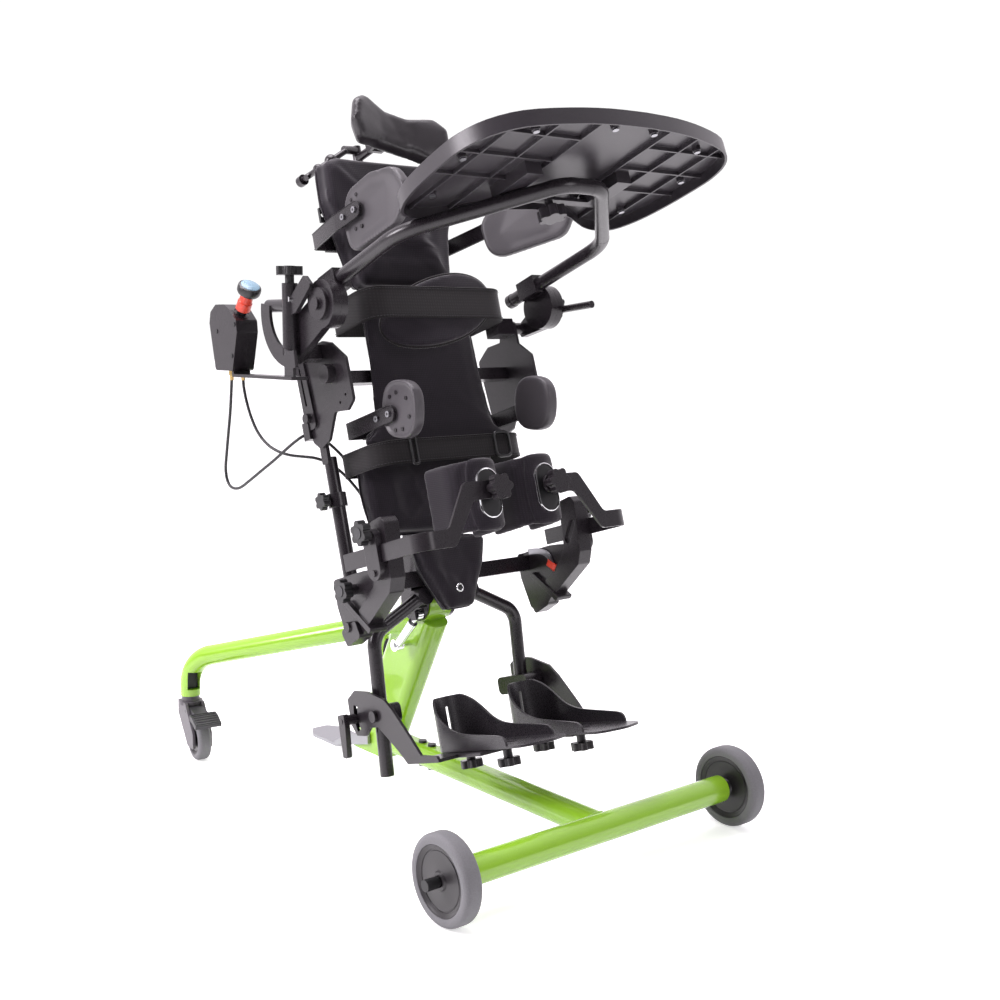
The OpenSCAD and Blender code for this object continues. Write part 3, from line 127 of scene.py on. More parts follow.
pivot_y, pivot_z = 12.25, 332
cable_r = 0.0024
cable_coat = surface("cable_coat", (0.012, 0.012, 0.014), 0.4, 900, 0.00004)
routes = {
    "cable_outer": [
        (-238, 214, 368), (-238, 216, 350), (-238, 222, 310), (-238, 230, 275), (-238, 238, 240),
        (-238, 243, 215), (-237, 242, 197), (-236, 234, 185), (-234, 220, 181), (-232, 202, 185),
        (-229, 180, 197), (-224, 150, 215), (-216, 118, 236), (-206, 92, 257), (-196, 76, 271),
        (-184, 71, 277), (-168, 73, 274), (-148, 72, 264), (-122, 68, 240), (-94, 60, 205),
        (-66, 48, 160), (-52, 36, 115), (-46, 27, 88), (-40, 23, 77), (-32, 22, 75)],
    "cable_inner": [
        (-226, 198, 368), (-226, 197, 350), (-225, 190, 325), (-223, 178, 298), (-220, 162, 275),
        (-215, 142, 258), (-208, 120, 248), (-198, 100, 243), (-184, 86, 241), (-166, 76, 238),
        (-144, 68, 228), (-118, 60, 205), (-90, 52, 168), (-66, 40, 122), (-54, 30, 82),
        (-47, 22, 55), (-40, 18, 43), (-32, 17, 41)]}
for name, route in routes.items():
    line = eased([level(*spot) for spot in route], 6)
    curve = bpy.data.curves.new(name, "CURVE")
    curve.dimensions = "3D"
    curve.bevel_depth = cable_r
    curve.bevel_resolution = 4
    curve.use_fill_caps = True
    spline = curve.splines.new("POLY")
    spline.points.add(len(line) - 1)
    for point, place in zip(spline.points, line):
        point.co = (*place, 1)
    curve.materials.append(cable_coat)
    cable = bpy.data.objects.new(name, curve)
    scene.collection.objects.link(cable)
    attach(cable, "tilt")
    if name == "cable_outer":
        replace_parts(cable, "control_cables")


# STUDIO
# A white sweep of paper behind and under the frame, dark on the side of the lens.
# A wide lamp overhead and two side lamps light it. All of it belongs to the picture only.
cool_pink = (1.0, 0.945, 1.0)
floor_mesh = bpy.data.meshes.new("floor")
floor_mesh.from_pydata([(-30, -30, 0), (30, -30, 0), (30, 30, 0), (-30, 30, 0)], [], [(0, 1, 2, 3)])
floor = bpy.data.objects.new("floor", floor_mesh)
scene.collection.objects.link(floor)
paper = bpy.data.materials.new("paper")
paper.use_nodes = True
sheet = paper.node_tree
paper_shader = sheet.nodes["Principled BSDF"]
paper_shader.inputs["Base Color"].default_value = (0.9, 0.9, 0.9, 1)
paper_shader.inputs["Roughness"].default_value = 0.6
paper_shader.inputs["Emission Color"].default_value = (1, 1, 1, 1)
glimpse = sheet.nodes.new("ShaderNodeLightPath")
either = sheet.nodes.new("ShaderNodeMath")
either.operation = "MAXIMUM"
lift = sheet.nodes.new("ShaderNodeMath")
lift.operation = "MULTIPLY"
lift.inputs[1].default_value = 0.55
sheet.links.new(glimpse.outputs["Is Camera Ray"], either.inputs[0])
sheet.links.new(glimpse.outputs["Is Glossy Ray"], either.inputs[1])
sheet.links.new(either.outputs["Value"], lift.inputs[0])
sheet.links.new(lift.outputs["Value"], paper_shader.inputs["Emission Strength"])
floor_mesh.materials.append(paper)
world = bpy.data.worlds.new("studio")
scene.world = world
world.use_nodes = True
sky = world.node_tree
rays = sky.nodes.new("ShaderNodeLightPath")
tint = sky.nodes.new("ShaderNodeMix")
tint.data_type = "RGBA"
by_colour = {end.identifier: end for end in (*tint.inputs, *tint.outputs)}
by_colour["A_Color"].default_value = (*cool_pink, 1)
by_colour["B_Color"].default_value = (1, 1, 1, 1)
sky.links.new(rays.outputs["Is Camera Ray"], by_colour["Factor_Float"])
sky.links.new(by_colour["Result_Color"], sky.nodes["Background"].inputs["Color"])
facing = sky.nodes.new("ShaderNodeTexCoord")
toward = sky.nodes.new("ShaderNodeVectorMath")
toward.operation = "DOT_PRODUCT"
toward.inputs[1].default_value = (math.sin(yaw), math.cos(yaw), 0.2)
sky.links.new(facing.outputs["Generated"], toward.inputs[0])
backdrop = sky.nodes.new("ShaderNodeMapRange")
backdrop.interpolation_type = "SMOOTHSTEP"
backdrop.inputs["From Min"].default_value = -0.35
backdrop.inputs["From Max"].default_value = 0.55
backdrop.inputs["To Min"].default_value = 0.16
backdrop.inputs["To Max"].default_value = 1.35
sky.links.new(toward.outputs["Value"], backdrop.inputs["Value"])
seen = sky.nodes.new("ShaderNodeMapRange")
seen.inputs["To Max"].default_value = 1.05
sky.links.new(rays.outputs["Is Camera Ray"], seen.inputs["Value"])
sky.links.new(backdrop.outputs["Result"], seen.inputs["To Min"])
sky.links.new(seen.outputs["Result"], sky.nodes["Background"].inputs["Strength"])
for name, place, size, power in (
        ("lamp_top", (-0.3, 0.2, 2.9), 1.8, 70),
        ("lamp_left", (-2.7, 0.9, 1.9), 1.4, 85),
        ("lamp_front", (0.4, -3.2, 1.9), 1.5, 20)):
    lamp = bpy.data.lights.new(name, "AREA")
    lamp.shape = "DISK"
    lamp.size = size
    lamp.energy = power
    lamp.color = cool_pink
    shining = bpy.data.objects.new(name, lamp)
    shining.location = place
    shining.rotation_euler = (Vector((0, 0, 0.5)) - Vector(place)).to_track_quat("-Z", "Y").to_euler()
    scene.collection.objects.link(shining)
scene.view_settings.view_transform = "Standard"


# BASE FRAME
# Round front cross bar, oval spine, upright mast and two bent rear legs. Welded steel tube under a
# thick glossy lime powder coat.
def dress(names, finish):
    """Gives the CAD nodes of these names one finish."""
    for each in names:
        nodes[each].data.materials.clear()
        nodes[each].data.materials.append(finish)


def piece(name, mesh, finish, body, angle=40):
    """Adds a finished mesh to the object, smooth but for edges sharper than the angle."""
    mesh.name = name
    mesh.materials.clear()
    mesh.materials.append(finish)
    mesh.shade_smooth()
    mesh.set_sharp_from_angle(angle=math.radians(angle))
    added = bpy.data.objects.new(name, mesh)
    scene.collection.objects.link(added)
    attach(added, body)
    return added


def solid(points, faces, join=False):
    """A mesh of these points and faces, with every face turned outwards."""
    mesh = bpy.data.meshes.new("solid")
    mesh.from_pydata([tuple(p) for p in points], [], faces)
    shape = bmesh.new()
    shape.from_mesh(mesh)
    if join:
        bmesh.ops.remove_doubles(shape, verts=shape.verts, dist=1e-6)
    bmesh.ops.recalc_face_normals(shape, faces=shape.faces)
    shape.to_mesh(mesh)
    shape.free()
    return mesh


def swept(path, section, across, closed=False, widths=None):
    """A section of (along across, along thickness) points carried along a path."""
    count, rows = len(path), len(section)
    points = []
    for i, spot in enumerate(path):
        after = path[(i + 1) % count] if closed else path[min(i + 1, count - 1)]
        before = path[i - 1] if closed else path[max(i - 1, 0)]
        normal = (after - before).cross(across).normalized()
        wide = widths[i] if widths else 1
        points += [spot + across * a * wide + normal * b for a, b in section]
    faces = [(i * rows + k, i * rows + (k + 1) % rows, (i + 1) % count * rows + (k + 1) % rows,
              (i + 1) % count * rows + k) for i in range(count if closed else count - 1) for k in range(rows)]
    if not closed:
        faces += [tuple(range(rows)), tuple(range(count * rows - 1, (count - 1) * rows - 1, -1))]
    return solid(points, faces)


def rounds(radius_mm):
    """The section of a round bar."""
    return [(radius_mm / 1000 * math.cos(a), radius_mm / 1000 * math.sin(a)) for a in
            (math.radians(36 * k) for k in range(10))]


lime = surface("lime_coat", (0.29, 0.56, 0.028), 0.24, 900, 0.00002, coat=0.6, fleck=0.03, edge=0.0008)
dress(["front_crossbar", "spine_tube", "mast", "rear_leg_left", "rear_leg_right"], lime)
black_oxide = surface("black_oxide", (0.02, 0.02, 0.021), 0.36, 700, 0.00003, metal=0.4, edge=0.0005)
dress(["base_bolts"], black_oxide)
axle_y, axle_z, crossbar_r = -0.40275, 0.0625, 0.0212
weld = []
for k in range(72):
    turn = math.radians(5 * k + 2.5)
    across = (math.copysign(5.5, math.cos(turn)) + 18 * math.cos(turn)) / 1000
    height = (63.5 + 18 * math.sin(turn)) / 1000
    weld.append(Vector((across, math.sqrt(crossbar_r ** 2 - (height - axle_z) ** 2) + axle_y, height)))
leg_x, caster_y = 0.215, 0.45725
# Painted shade: a thin dark sheet at the back of each window in the rear legs stands in for the dark seen inside
# the opening.
window_y, window_low, window_high = 0.4521, 0.1224, 0.1556
plate_half, plate_skin = 0.0118, 0.0004
plate = [(a * plate_half, b * plate_skin) for a, b in ((-1, -1), (1, -1), (1, 1), (-1, 1))]
for side, sign in (("left", -1), ("right", 1)):
    opening = [Vector((sign * leg_x, window_y, z)) for z in (window_low, window_high)]
    piece(f"leg_window_shade_{side}", swept(opening, plate, Vector((1, 0, 0))), black_oxide, "base")
piece("spine_weld", swept(weld, rounds(1.8), Vector((0, 1, 0)), closed=True), lime, "base", 60)


# FRONT WHEELS AND CASTER WHEELS
# Solid grey rubber tyres moulded on dished dark nylon hubs with a groove near the rim.
# Each wheel runs on a steel bolt through its hub.
def turned(profile, place, sides=96, closed=True):
    """A turned form: the profile's (along, radius) points, in metres, spun round place's X axis."""
    rows = len(profile)
    points = [place @ Vector((a, r * math.cos(2 * math.pi * k / sides), r * math.sin(2 * math.pi * k / sides)))
              for k in range(sides) for a, r in profile]
    span = rows if closed else rows - 1
    faces = [(k * rows + i, k * rows + (i + 1) % rows, (k + 1) % sides * rows + (i + 1) % rows,
              (k + 1) % sides * rows + i) for k in range(sides) for i in range(span)]
    return solid(points, faces, join=True)


rubber = surface("tyre_rubber", (0.17, 0.17, 0.178), 0.62, 500, 0.00008)
nylon = surface("black_nylon", (0.010, 0.010, 0.011), 0.34, 800, 0.00004)
hub_nylon = surface("hub_nylon", (0.020, 0.018, 0.020), 0.36, 900, 0.00005)
track_half, shoulder = 0.28, 0.007
caster_r, caster_trail, caster_turn = 0.0375, 0.042, math.radians(-8)
for side, sign in (("left", -1), ("right", 1)):
    front_place = Matrix.Translation((sign * track_half, axle_y, axle_z))
    caster_place = Matrix.Translation((sign * leg_x - caster_trail * math.sin(-caster_turn),
                                       caster_y - caster_trail * math.cos(caster_turn), caster_r))
    wheels = (
        (f"front_wheel_{side}", front_place, axle_z, 0.014, 0.048, 0.0081),
        (f"caster_wheel_{side}", caster_place @ Matrix.Rotation(caster_turn, 4, "Z"), caster_r, 0.012, 0.0262,
         0.0041))
    for node, place, r, half, rim, bore in wheels:
        arc = [(half - shoulder + shoulder * math.sin(a), r - shoulder + shoulder * math.cos(a))
               for a in (math.radians(18 * k) for k in range(6))]
        outer = [(half - 0.0006, rim + 0.0006), (half, rim + 0.0016)] + arc[::-1]
        tyre = turned([(-a, b) for a, b in outer] + outer[::-1], place)
        tyre_piece = piece(f"{node}_tyre", tyre, rubber, node, 50)
        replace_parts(tyre_piece, node)
        lip = half - 0.0008
        dish = half - (0.004 if half > 0.013 else 0.003)
        boss = bore + 0.0045
        face = [(lip, bore), (lip, boss - 0.0006), (lip - 0.0006, boss), (dish + 0.0004, boss + 0.0012),
                (dish, boss + 0.003), (dish - 0.0002, rim * 0.82), (dish - 0.0009, rim * 0.83),
                (dish - 0.0009, rim * 0.86), (dish, rim * 0.87), (lip - 0.0012, rim - 0.0016),
                (lip - 0.0004, rim - 0.0006), (lip - 0.0002, rim), (half - 0.002, rim + 0.0006)]
        hub = turned([(-a, b) for a, b in face] + face[::-1], place)
        piece(f"{node}_hub", hub, hub_nylon, node, 28)


# CASTER FORKS AND BRAKE PEDALS
# Glass filled nylon forks, each on a swivel stem pressed into the end of a rear leg.
# A ribbed two step pedal on top is pressed down to lock the tyre.
def stud_nodes():
    """The nodes that set one small round piece on each point, standing along the point's own aim."""
    tree = bpy.data.node_groups.new("studs", "GeometryNodeTree")
    for label, kind in (("Spots", "Geometry"), ("Radius", "Float"), ("Height", "Float"), ("Sides", "Int"),
                        ("Seed", "Int"), ("Finish", "Material")):
        tree.interface.new_socket(label, in_out="INPUT", socket_type=f"NodeSocket{kind}")
    tree.interface.new_socket("Studs", in_out="OUTPUT", socket_type="NodeSocketGeometry")
    given = tree.nodes.new("NodeGroupInput")
    result = tree.nodes.new("NodeGroupOutput")
    stud = tree.nodes.new("GeometryNodeMeshCylinder")
    aim = tree.nodes.new("GeometryNodeInputNamedAttribute")
    aim.data_type = "FLOAT_VECTOR"
    aim.inputs["Name"].default_value = "aim"
    stand = tree.nodes.new("FunctionNodeAlignRotationToVector")
    stand.axis = "Z"
    spin = tree.nodes.new("FunctionNodeRandomValue")
    spin.data_type = "FLOAT_VECTOR"
    spin.inputs[0].default_value = (0, 0, 0)
    spin.inputs[1].default_value = (0, 0, 6.283)
    twist = tree.nodes.new("FunctionNodeEulerToRotation")
    turned_in = tree.nodes.new("FunctionNodeRotateRotation")
    turned_in.rotation_space = "LOCAL"
    lay = tree.nodes.new("GeometryNodeInstanceOnPoints")
    real = tree.nodes.new("GeometryNodeRealizeInstances")
    coat = tree.nodes.new("GeometryNodeSetMaterial")
    link = tree.links.new
    link(given.outputs["Radius"], stud.inputs["Radius"])
    link(given.outputs["Height"], stud.inputs["Depth"])
    link(given.outputs["Sides"], stud.inputs["Vertices"])
    link(given.outputs["Seed"], spin.inputs["Seed"])
    link(aim.outputs["Attribute"], stand.inputs["Vector"])
    link(spin.outputs[0], twist.inputs["Euler"])
    link(stand.outputs["Rotation"], turned_in.inputs["Rotation"])
    link(twist.outputs["Rotation"], turned_in.inputs["Rotate By"])
    link(given.outputs["Spots"], lay.inputs["Points"])
    link(stud.outputs["Mesh"], lay.inputs["Instance"])
    link(turned_in.outputs["Rotation"], lay.inputs["Rotation"])
    link(lay.outputs["Instances"], real.inputs["Geometry"])
    link(real.outputs["Geometry"], coat.inputs["Geometry"])
    link(given.outputs["Finish"], coat.inputs["Material"])
    link(coat.outputs["Geometry"], result.inputs["Studs"])
    return tree


def studded(name, spots, aims, radius, height, sides, finish, body, seed=3):
    """Many small equal pieces set on points by Geometry Nodes, each one standing along its own aim."""
    base = bpy.data.meshes.new("spots")
    base.from_pydata([tuple(p) for p in spots], [], [])
    pointing = base.attributes.new("aim", "FLOAT_VECTOR", "POINT")
    for k, way in enumerate(aims):
        pointing.data[k].vector = way
    holder = bpy.data.objects.new("spots", base)
    scene.collection.objects.link(holder)
    modifier = holder.modifiers.new("studs", "NODES")
    modifier.node_group = stud_tree
    values = {"Radius": radius, "Height": height, "Sides": sides, "Seed": seed, "Finish": finish}
    for item in stud_tree.interface.items_tree:
        if item.name in values:
            modifier[item.identifier] = values[item.name]
    mesh = bpy.data.meshes.new_from_object(holder.evaluated_get(bpy.context.evaluated_depsgraph_get()))
    holder.modifiers.remove(modifier)
    bpy.data.objects.remove(holder)
    return piece(name, mesh, finish, body)


stud_tree = stud_nodes()
fork_nylon = surface("fork_nylon", (0.085, 0.078, 0.088), 0.42, 900, 0.00005, edge=0.0015)
pedal_nylon = surface("pedal_nylon", (0.026, 0.025, 0.029), 0.45, 900, 0.00006, edge=0.0008)
dress(["caster_fork_left", "caster_fork_right"], fork_nylon)
dress(["caster_pedal_left", "caster_pedal_right"], pedal_nylon)
for side, sign in (("left", -1), ("right", 1)):
    swivel = Matrix.Translation((sign * leg_x, caster_y, 0)) @ Matrix.Rotation(caster_turn, 4, "Z")
    treads = [swivel @ Vector((0, y / 1000, z / 1000)) for y, z in
              ((-66, 90.2), (-71, 89.1), (-77, 87.3), (-82, 84.6), (-87, 81.8), (-92, 79.1))]
    along = swivel.to_3x3() @ Vector((1, 0, 0))
    studded(f"caster_pedal_{side}_treads", treads, [along] * len(treads), 0.0013, 0.042, 8, pedal_nylon,
            f"caster_pedal_{side}")


# FOOT PEDAL AND GAS SPRING
# A pressed and plated steel pedal pinned through the foot of the mast, and the short chromed spring
# beside the mast that holds the tilt.
zinc = surface("zinc_plate", (0.34, 0.34, 0.36), 0.34, 700, 0.00003, metal=1.0, edge=0.0005)
chrome = surface("chrome", (0.78, 0.79, 0.80), 0.12, 600, 0.00001, metal=1.0, fleck=0.02)
dress(["foot_pedal"], zinc)
dress(["gas_cylinder", "gas_rod"], chrome)


# TILTING HEAD, POST AND TUBES
# Square and round steel tube, bent and welded, under a satin black powder coat.
# The head turns on a pin through the top of the mast, and all the rest hangs on it.
satin = surface("satin_coat", (0.014, 0.011, 0.014), 0.28, 1300, 0.00004, edge=0.0010)
dress(["tilt_head", "back_post", "cross_tube", "strut", "leg_tube_left", "leg_tube_right", "tray_tube",
       "headrest_link"], satin)


# BODY PADS
# Foam blocks in a stretched navy black knit cover with a piped seam, on moulded backing plates that
# are screwed to the post. A snap stud in a bright eyelet closes the cover of the lowest one.
def knit(name, colour, pitch_mm):
    """A stretched knit: rows of stitches in two directions, and a soft fuzz that catches the light."""
    made = bpy.data.materials.new(name)
    made.use_nodes = True
    tree = made.node_tree
    shader = tree.nodes["Principled BSDF"]
    shader.inputs["Roughness"].default_value = 0.88
    shader.inputs["Sheen Weight"].default_value = 0.35
    shader.inputs["Sheen Roughness"].default_value = 0.45
    shader.inputs["Specular IOR Level"].default_value = 0.25
    coords = tree.nodes.new("ShaderNodeTexCoord")
    band_mm = 314
    rows = []
    for way in ("X", "Z"):
        wave = tree.nodes.new("ShaderNodeTexWave")
        wave.bands_direction = way
        wave.inputs["Scale"].default_value = band_mm / pitch_mm / 2
        wave.inputs["Distortion"].default_value = 1.2
        wave.inputs["Detail Scale"].default_value = 3
        tree.links.new(coords.outputs["Object"], wave.inputs["Vector"])
        rows.append(wave)
    cells = tree.nodes.new("ShaderNodeMath")
    cells.operation = "MULTIPLY"
    for k, wave in enumerate(rows):
        tree.links.new(wave.outputs["Fac"], cells.inputs[k])
    ramp = tree.nodes.new("ShaderNodeValToRGB")
    for stop, gain in zip(ramp.color_ramp.elements, (0.72, 1.18)):
        stop.color = [c * gain for c in colour] + [1]
    tree.links.new(cells.outputs["Value"], ramp.inputs["Fac"])
    tree.links.new(ramp.outputs["Color"], shader.inputs["Base Color"])
    bump = tree.nodes.new("ShaderNodeBump")
    bump.inputs["Strength"].default_value = 0.5
    bump.inputs["Distance"].default_value = 0.0003
    tree.links.new(cells.outputs["Value"], bump.inputs["Height"])
    tree.links.new(bump.outputs["Normal"], shader.inputs["Normal"])
    return made


def remeshed(mesh, voxel):
    """An even mesh with the same outer form."""
    copy = bpy.data.objects.new("copy", mesh.copy())
    scene.collection.objects.link(copy)
    even = copy.modifiers.new("even", "REMESH")
    even.mode = "VOXEL"
    even.voxel_size = voxel
    smooth_copy = bpy.data.meshes.new_from_object(copy.evaluated_get(bpy.context.evaluated_depsgraph_get()))
    bpy.data.objects.remove(copy)
    return smooth_copy


def relaxed(mesh, turns):
    """The mesh with its small steps eased out and one level finer."""
    holder = bpy.data.objects.new("relaxed", mesh)
    scene.collection.objects.link(holder)
    smooth = holder.modifiers.new("smooth", "SMOOTH")
    smooth.iterations = turns
    finer = holder.modifiers.new("finer", "SUBSURF")
    finer.levels = finer.render_levels = 1
    done = bpy.data.meshes.new_from_object(holder.evaluated_get(bpy.context.evaluated_depsgraph_get()))
    bpy.data.objects.remove(holder)
    return done


def stuffed(mesh, pressure, most, held):
    """An even mesh blown up from inside like filled cloth; held picks the points that stay put."""
    rest = [v.co.copy() for v in mesh.vertices]
    cover = bpy.data.objects.new("cover", mesh)
    scene.collection.objects.link(cover)
    pins = cover.vertex_groups.new(name="held")
    pins.add([i for i, co in enumerate(rest) if held(co)], 1.0, "REPLACE")
    cloth = cover.modifiers.new("cloth", "CLOTH")
    cloth.settings.quality = 5
    cloth.settings.mass = 0.3
    cloth.settings.use_pressure = True
    cloth.settings.uniform_pressure_force = pressure
    cloth.settings.vertex_group_mass = "held"
    cloth.settings.effector_weights.gravity = 0
    cloth.settings.shrink_min = 0.04
    cloth.collision_settings.use_collision = False
    for step in range(1, 21):
        scene.frame_set(step)
    shaped = cover.evaluated_get(bpy.context.evaluated_depsgraph_get())
    places = [v.co.copy() for v in shaped.data.vertices]
    cover.modifiers.clear()
    scene.frame_set(1)
    for vertex, was, now in zip(mesh.vertices, rest, places):
        shift = now - was
        vertex.co = was + shift * min(1, most / max(shift.length, 1e-9))
    bpy.data.objects.remove(cover)
    return relaxed(mesh, 2)


def even(path, gap):
    """The same path with points about gap apart, and the direction at each of them."""
    spots, ways, left = [], [], gap / 2
    for a, b in zip(path, path[1:]):
        long = (b - a).length
        while left < long:
            spots.append(a.lerp(b, left / long))
            ways.append((b - a).normalized())
            left += gap
        left -= long
    return spots, ways


def seam(mesh, depth_mm):
    """The ring of points where a plane across the tilting frame's depth cuts the mesh, 6 mm apart."""
    cut = bmesh.new()
    cut.from_mesh(mesh)
    made = bmesh.ops.bisect_plane(cut, geom=cut.verts[:] + cut.edges[:] + cut.faces[:],
                                  plane_co=tilted(0, depth_mm, 0), plane_no=tilt_back)["geom_cut"]
    beside = {}
    for each in made:
        if isinstance(each, bmesh.types.BMEdge):
            a, b = each.verts
            beside.setdefault(a, []).append(b)
            beside.setdefault(b, []).append(a)
    here = max(beside, key=lambda v: v.co.x)
    ring = [here]
    onward = beside[here][0]
    while onward is not ring[0]:
        ring.append(onward)
        onward = next(v for v in beside[onward] if v is not ring[-2])
    places = [v.co.copy() for v in ring]
    cut.free()
    return even(places + places[:1], 0.006)[0]


def tilted(x, y, z):
    """A point given in millimetres in the tilting frame."""
    return tilt_frame @ Vector((x / 1000, y / 1000, z / 1000))


lean = math.radians(-16.5)
tilt_frame = Matrix.Translation(level(0, 0, 0)) @ Matrix.Rotation(lean, 4, "X")
to_tilt = tilt_frame.inverted()
tilt_up = (tilted(0, 0, 1) - tilted(0, 0, 0)).normalized()
tilt_back = (tilted(0, 1, 0) - tilted(0, 0, 0)).normalized()
navy_knit = knit("navy_knit", (0.017, 0.013, 0.019), 1.6)
for node, back in (("calf_pad", -0.066), ("leg_pad", -0.043), ("hip_pad", -0.095), ("torso_pad", -0.060)):
    soft = stuffed(remeshed(nodes[node].data, 0.005), 4, 0.007, lambda co: (to_tilt @ co).y > back - 0.006)
    pad = piece(f"{node}_cover", soft, navy_knit, "tilt", 180)
    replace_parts(pad, node)
    piping = swept(seam(soft, back * 1000 - 9), rounds(1.6), tilt_back, closed=True)
    piece(f"{node}_piping", piping, navy_knit, "tilt", 60)
    if node == "calf_pad":
        near = [to_tilt @ v.co for v in soft.vertices]
        face = min(p.y for p in near if abs(p.x + 0.005) < 0.006 and abs(p.z - 0.0065) < 0.006)
        stud = (Matrix.Translation(tilted(-5, face * 1000, 6.5))
                @ (-tilt_back).to_track_quat("X", "Z").to_matrix().to_4x4())
        piece("calf_eyelet", turned([(-0.001, 0.0042), (0.0012, 0.0046), (0.0018, 0.0056), (0.0012, 0.0070),
                                     (-0.001, 0.0074)], stud, 40), chrome, "tilt", 60)
        piece("calf_stud", turned([(-0.001, 0), (-0.001, 0.0043), (0.0010, 0.0040), (0.0018, 0.0024), (0.0020, 0)],
                                  stud, 32, closed=False), black_oxide, "tilt", 40)
shell_black = surface("shell_black", (0.015, 0.015, 0.016), 0.5, 900, 0.00006, edge=0.001)
dress(["pad_shells"], shell_black)


# CHEST STRAP AND HIP STRAP
# Woven nylon straps sewn along both edges, threaded behind the backing plates and drawn round the
# trunk and the hips. The chest strap presses an oval foam pad; the hip strap has a buckle and a ring.
def bowed(points, radii, steps=8):
    """A path through the points with each inner corner rounded off."""
    points = [Vector(p) for p in points]
    path = [points[0]]
    for before, here, after, radius in zip(points, points[1:], points[2:], radii):
        a, b = (before - here).normalized(), (after - here).normalized()
        cut = radius / math.tan(a.angle(b) / 2)
        start, end = here + a * cut, here + b * cut
        path += [start.lerp(here, t).lerp(here.lerp(end, t), t) for t in (k / steps for k in range(steps + 1))]
    return path + [points[-1]]


def flat(half, thick, edge):
    """The section of a strip with its edges rounded."""
    return [(x * (half - edge * (1 - i)), y * (thick / 2 - edge * i)) for x, y, order in
            ((-1, -1, (0, 1)), (1, -1, (1, 0)), (1, 1, (0, 1)), (-1, 1, (1, 0))) for i in order][::-1]


def loft(outline, rings, place):
    """A closed form from rings of one outline, each drawn in by its inset and set at its depth."""
    count = len(outline)
    mid = [(max(p[k] for p in outline) + min(p[k] for p in outline)) / 2 for k in (0, 1)]
    reach = max(math.dist(p, mid) for p in outline)
    points = [place(mid[0] + (u - mid[0]) * (1 - inset / reach), mid[1] + (v - mid[1]) * (1 - inset / reach),
                    depth) for inset, depth in rings for u, v in outline]
    faces = [(k * count + i, k * count + (i + 1) % count, (k + 1) * count + (i + 1) % count,
              (k + 1) * count + i) for k in range(len(rings) - 1) for i in range(count)]
    faces += [tuple(range(count))[::-1], tuple(range((len(rings) - 1) * count, len(rings) * count))]
    return solid(points, faces)


webbing = knit("webbing", (0.013, 0.011, 0.012), 2.4)
thread = surface("thread", (0.03, 0.03, 0.032), 0.8, 900, 0.00005)
chest_strap_z, hip_strap_z = 454.5, 224
for name, corners, radii, mid, half in (
        ("chest_strap", [(-5, -65.5), (-136.5, -65.5), (-136.5, -174.5), (136.5, -174.5), (136.5, -65.5),
                         (5, -65.5)], (6, 38, 38, 6), chest_strap_z, 25.5),
        ("hip_strap", [(-100, -36.5), (-145.5, -36.5), (-145.5, -150.5), (145.5, -150.5), (145.5, -36.5),
                       (100, -36.5)], (6, 48, 48, 6), hip_strap_z, 19)):
    path = [tilted(p.x, p.y, mid) for p in bowed([(*c, 0) for c in corners], radii, 14)]
    strap = piece(name + "_web", swept(path, flat(half / 1000, 0.0026, 0.0008), tilt_up), webbing, "tilt",
                  50)
    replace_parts(strap, name)
    spots, ways = even(path, 0.005)
    rows = [(spot + tilt_up * (half - 3.5) * edge / 1000 + way.cross(tilt_up) * 0.0014, way)
            for edge in (-1, 1) for spot, way in zip(spots, ways)]
    studded(name + "_stitches", [p for p, w in rows], [w for p, w in rows], 0.00045, 0.0034, 6, thread, "tilt")
chest_x, chest_z = 11, 447
oval = [(chest_x + 105 * math.cos(a) + 50 * math.sin(a), chest_z + 62 * math.sin(a)) for a in
        (math.radians(5 * k) for k in range(72))]


def wrapped(u, v, depth):
    """A point of the chest pad, whose ends bend back round the trunk."""
    return tilted(u, depth + 0.0012 * (u - chest_x) ** 2, v)


block = loft(oval, [(60, -152), (8, -152), (3, -153), (1, -156), (1, -164), (3, -167), (8, -169), (60, -171)],
             wrapped)
chest_pad = stuffed(remeshed(block, 0.004), 3, 0.0015, lambda co: (to_tilt @ co).y > -0.150)
chest_cover = piece("chest_pad_cover", chest_pad, navy_knit, "tilt", 180)
drawn_in = 0.985
edge = [wrapped(chest_x + (u - chest_x) * drawn_in, chest_z + (v - chest_z) * drawn_in, -160) for u, v in oval]
piece("chest_pad_piping", swept(edge, rounds(2.2), tilt_back, closed=True), webbing, "tilt", 60)
buckle_black = surface("buckle_black", (0.014, 0.014, 0.015), 0.35, 900, 0.00003)
buckle_y = -154.5
for name, x, w, h, bar in (("hip_buckle", 88, 15, 20, 2.4), ("hip_ring", -88, 5, 22, 2.0)):
    start = (x - w, hip_strap_z, 0)
    corners = [(x + a * w, hip_strap_z + b * h, 0) for a, b in ((-1, -1), (1, -1), (1, 1), (-1, 1))]
    ring = bowed([start, *corners, start], [min(w, h) * 0.6] * 4, 6)[:-1]
    piece(name, swept([tilted(p.x, buckle_y, p.y) for p in ring], rounds(bar), tilt_back, closed=True),
          buckle_black, "tilt", 60)


# SIDE PLATES AND TRAY CLAMPS
# Laser cut steel plates welded to the bar behind the hips, and cast ratchet clamps for the tray arms.
# All have a dark powder coat, and bright bolt ends show on the left clamp.
graphite = surface("graphite_coat", (0.017, 0.014, 0.017), 0.30, 1100, 0.00005, edge=0.0012)
dress(["side_plate_left", "side_plate_right"], graphite)
dress(["arm_clamps", "tray_clamps"], satin)
to_left = Vector((-1, 0, 0))
studded("clamp_bolts", [tilted(-239, -115, 474), tilted(-238, -63, 395)], [to_left] * 2, 0.0045, 0.007, 24, chrome,
        "tilt")


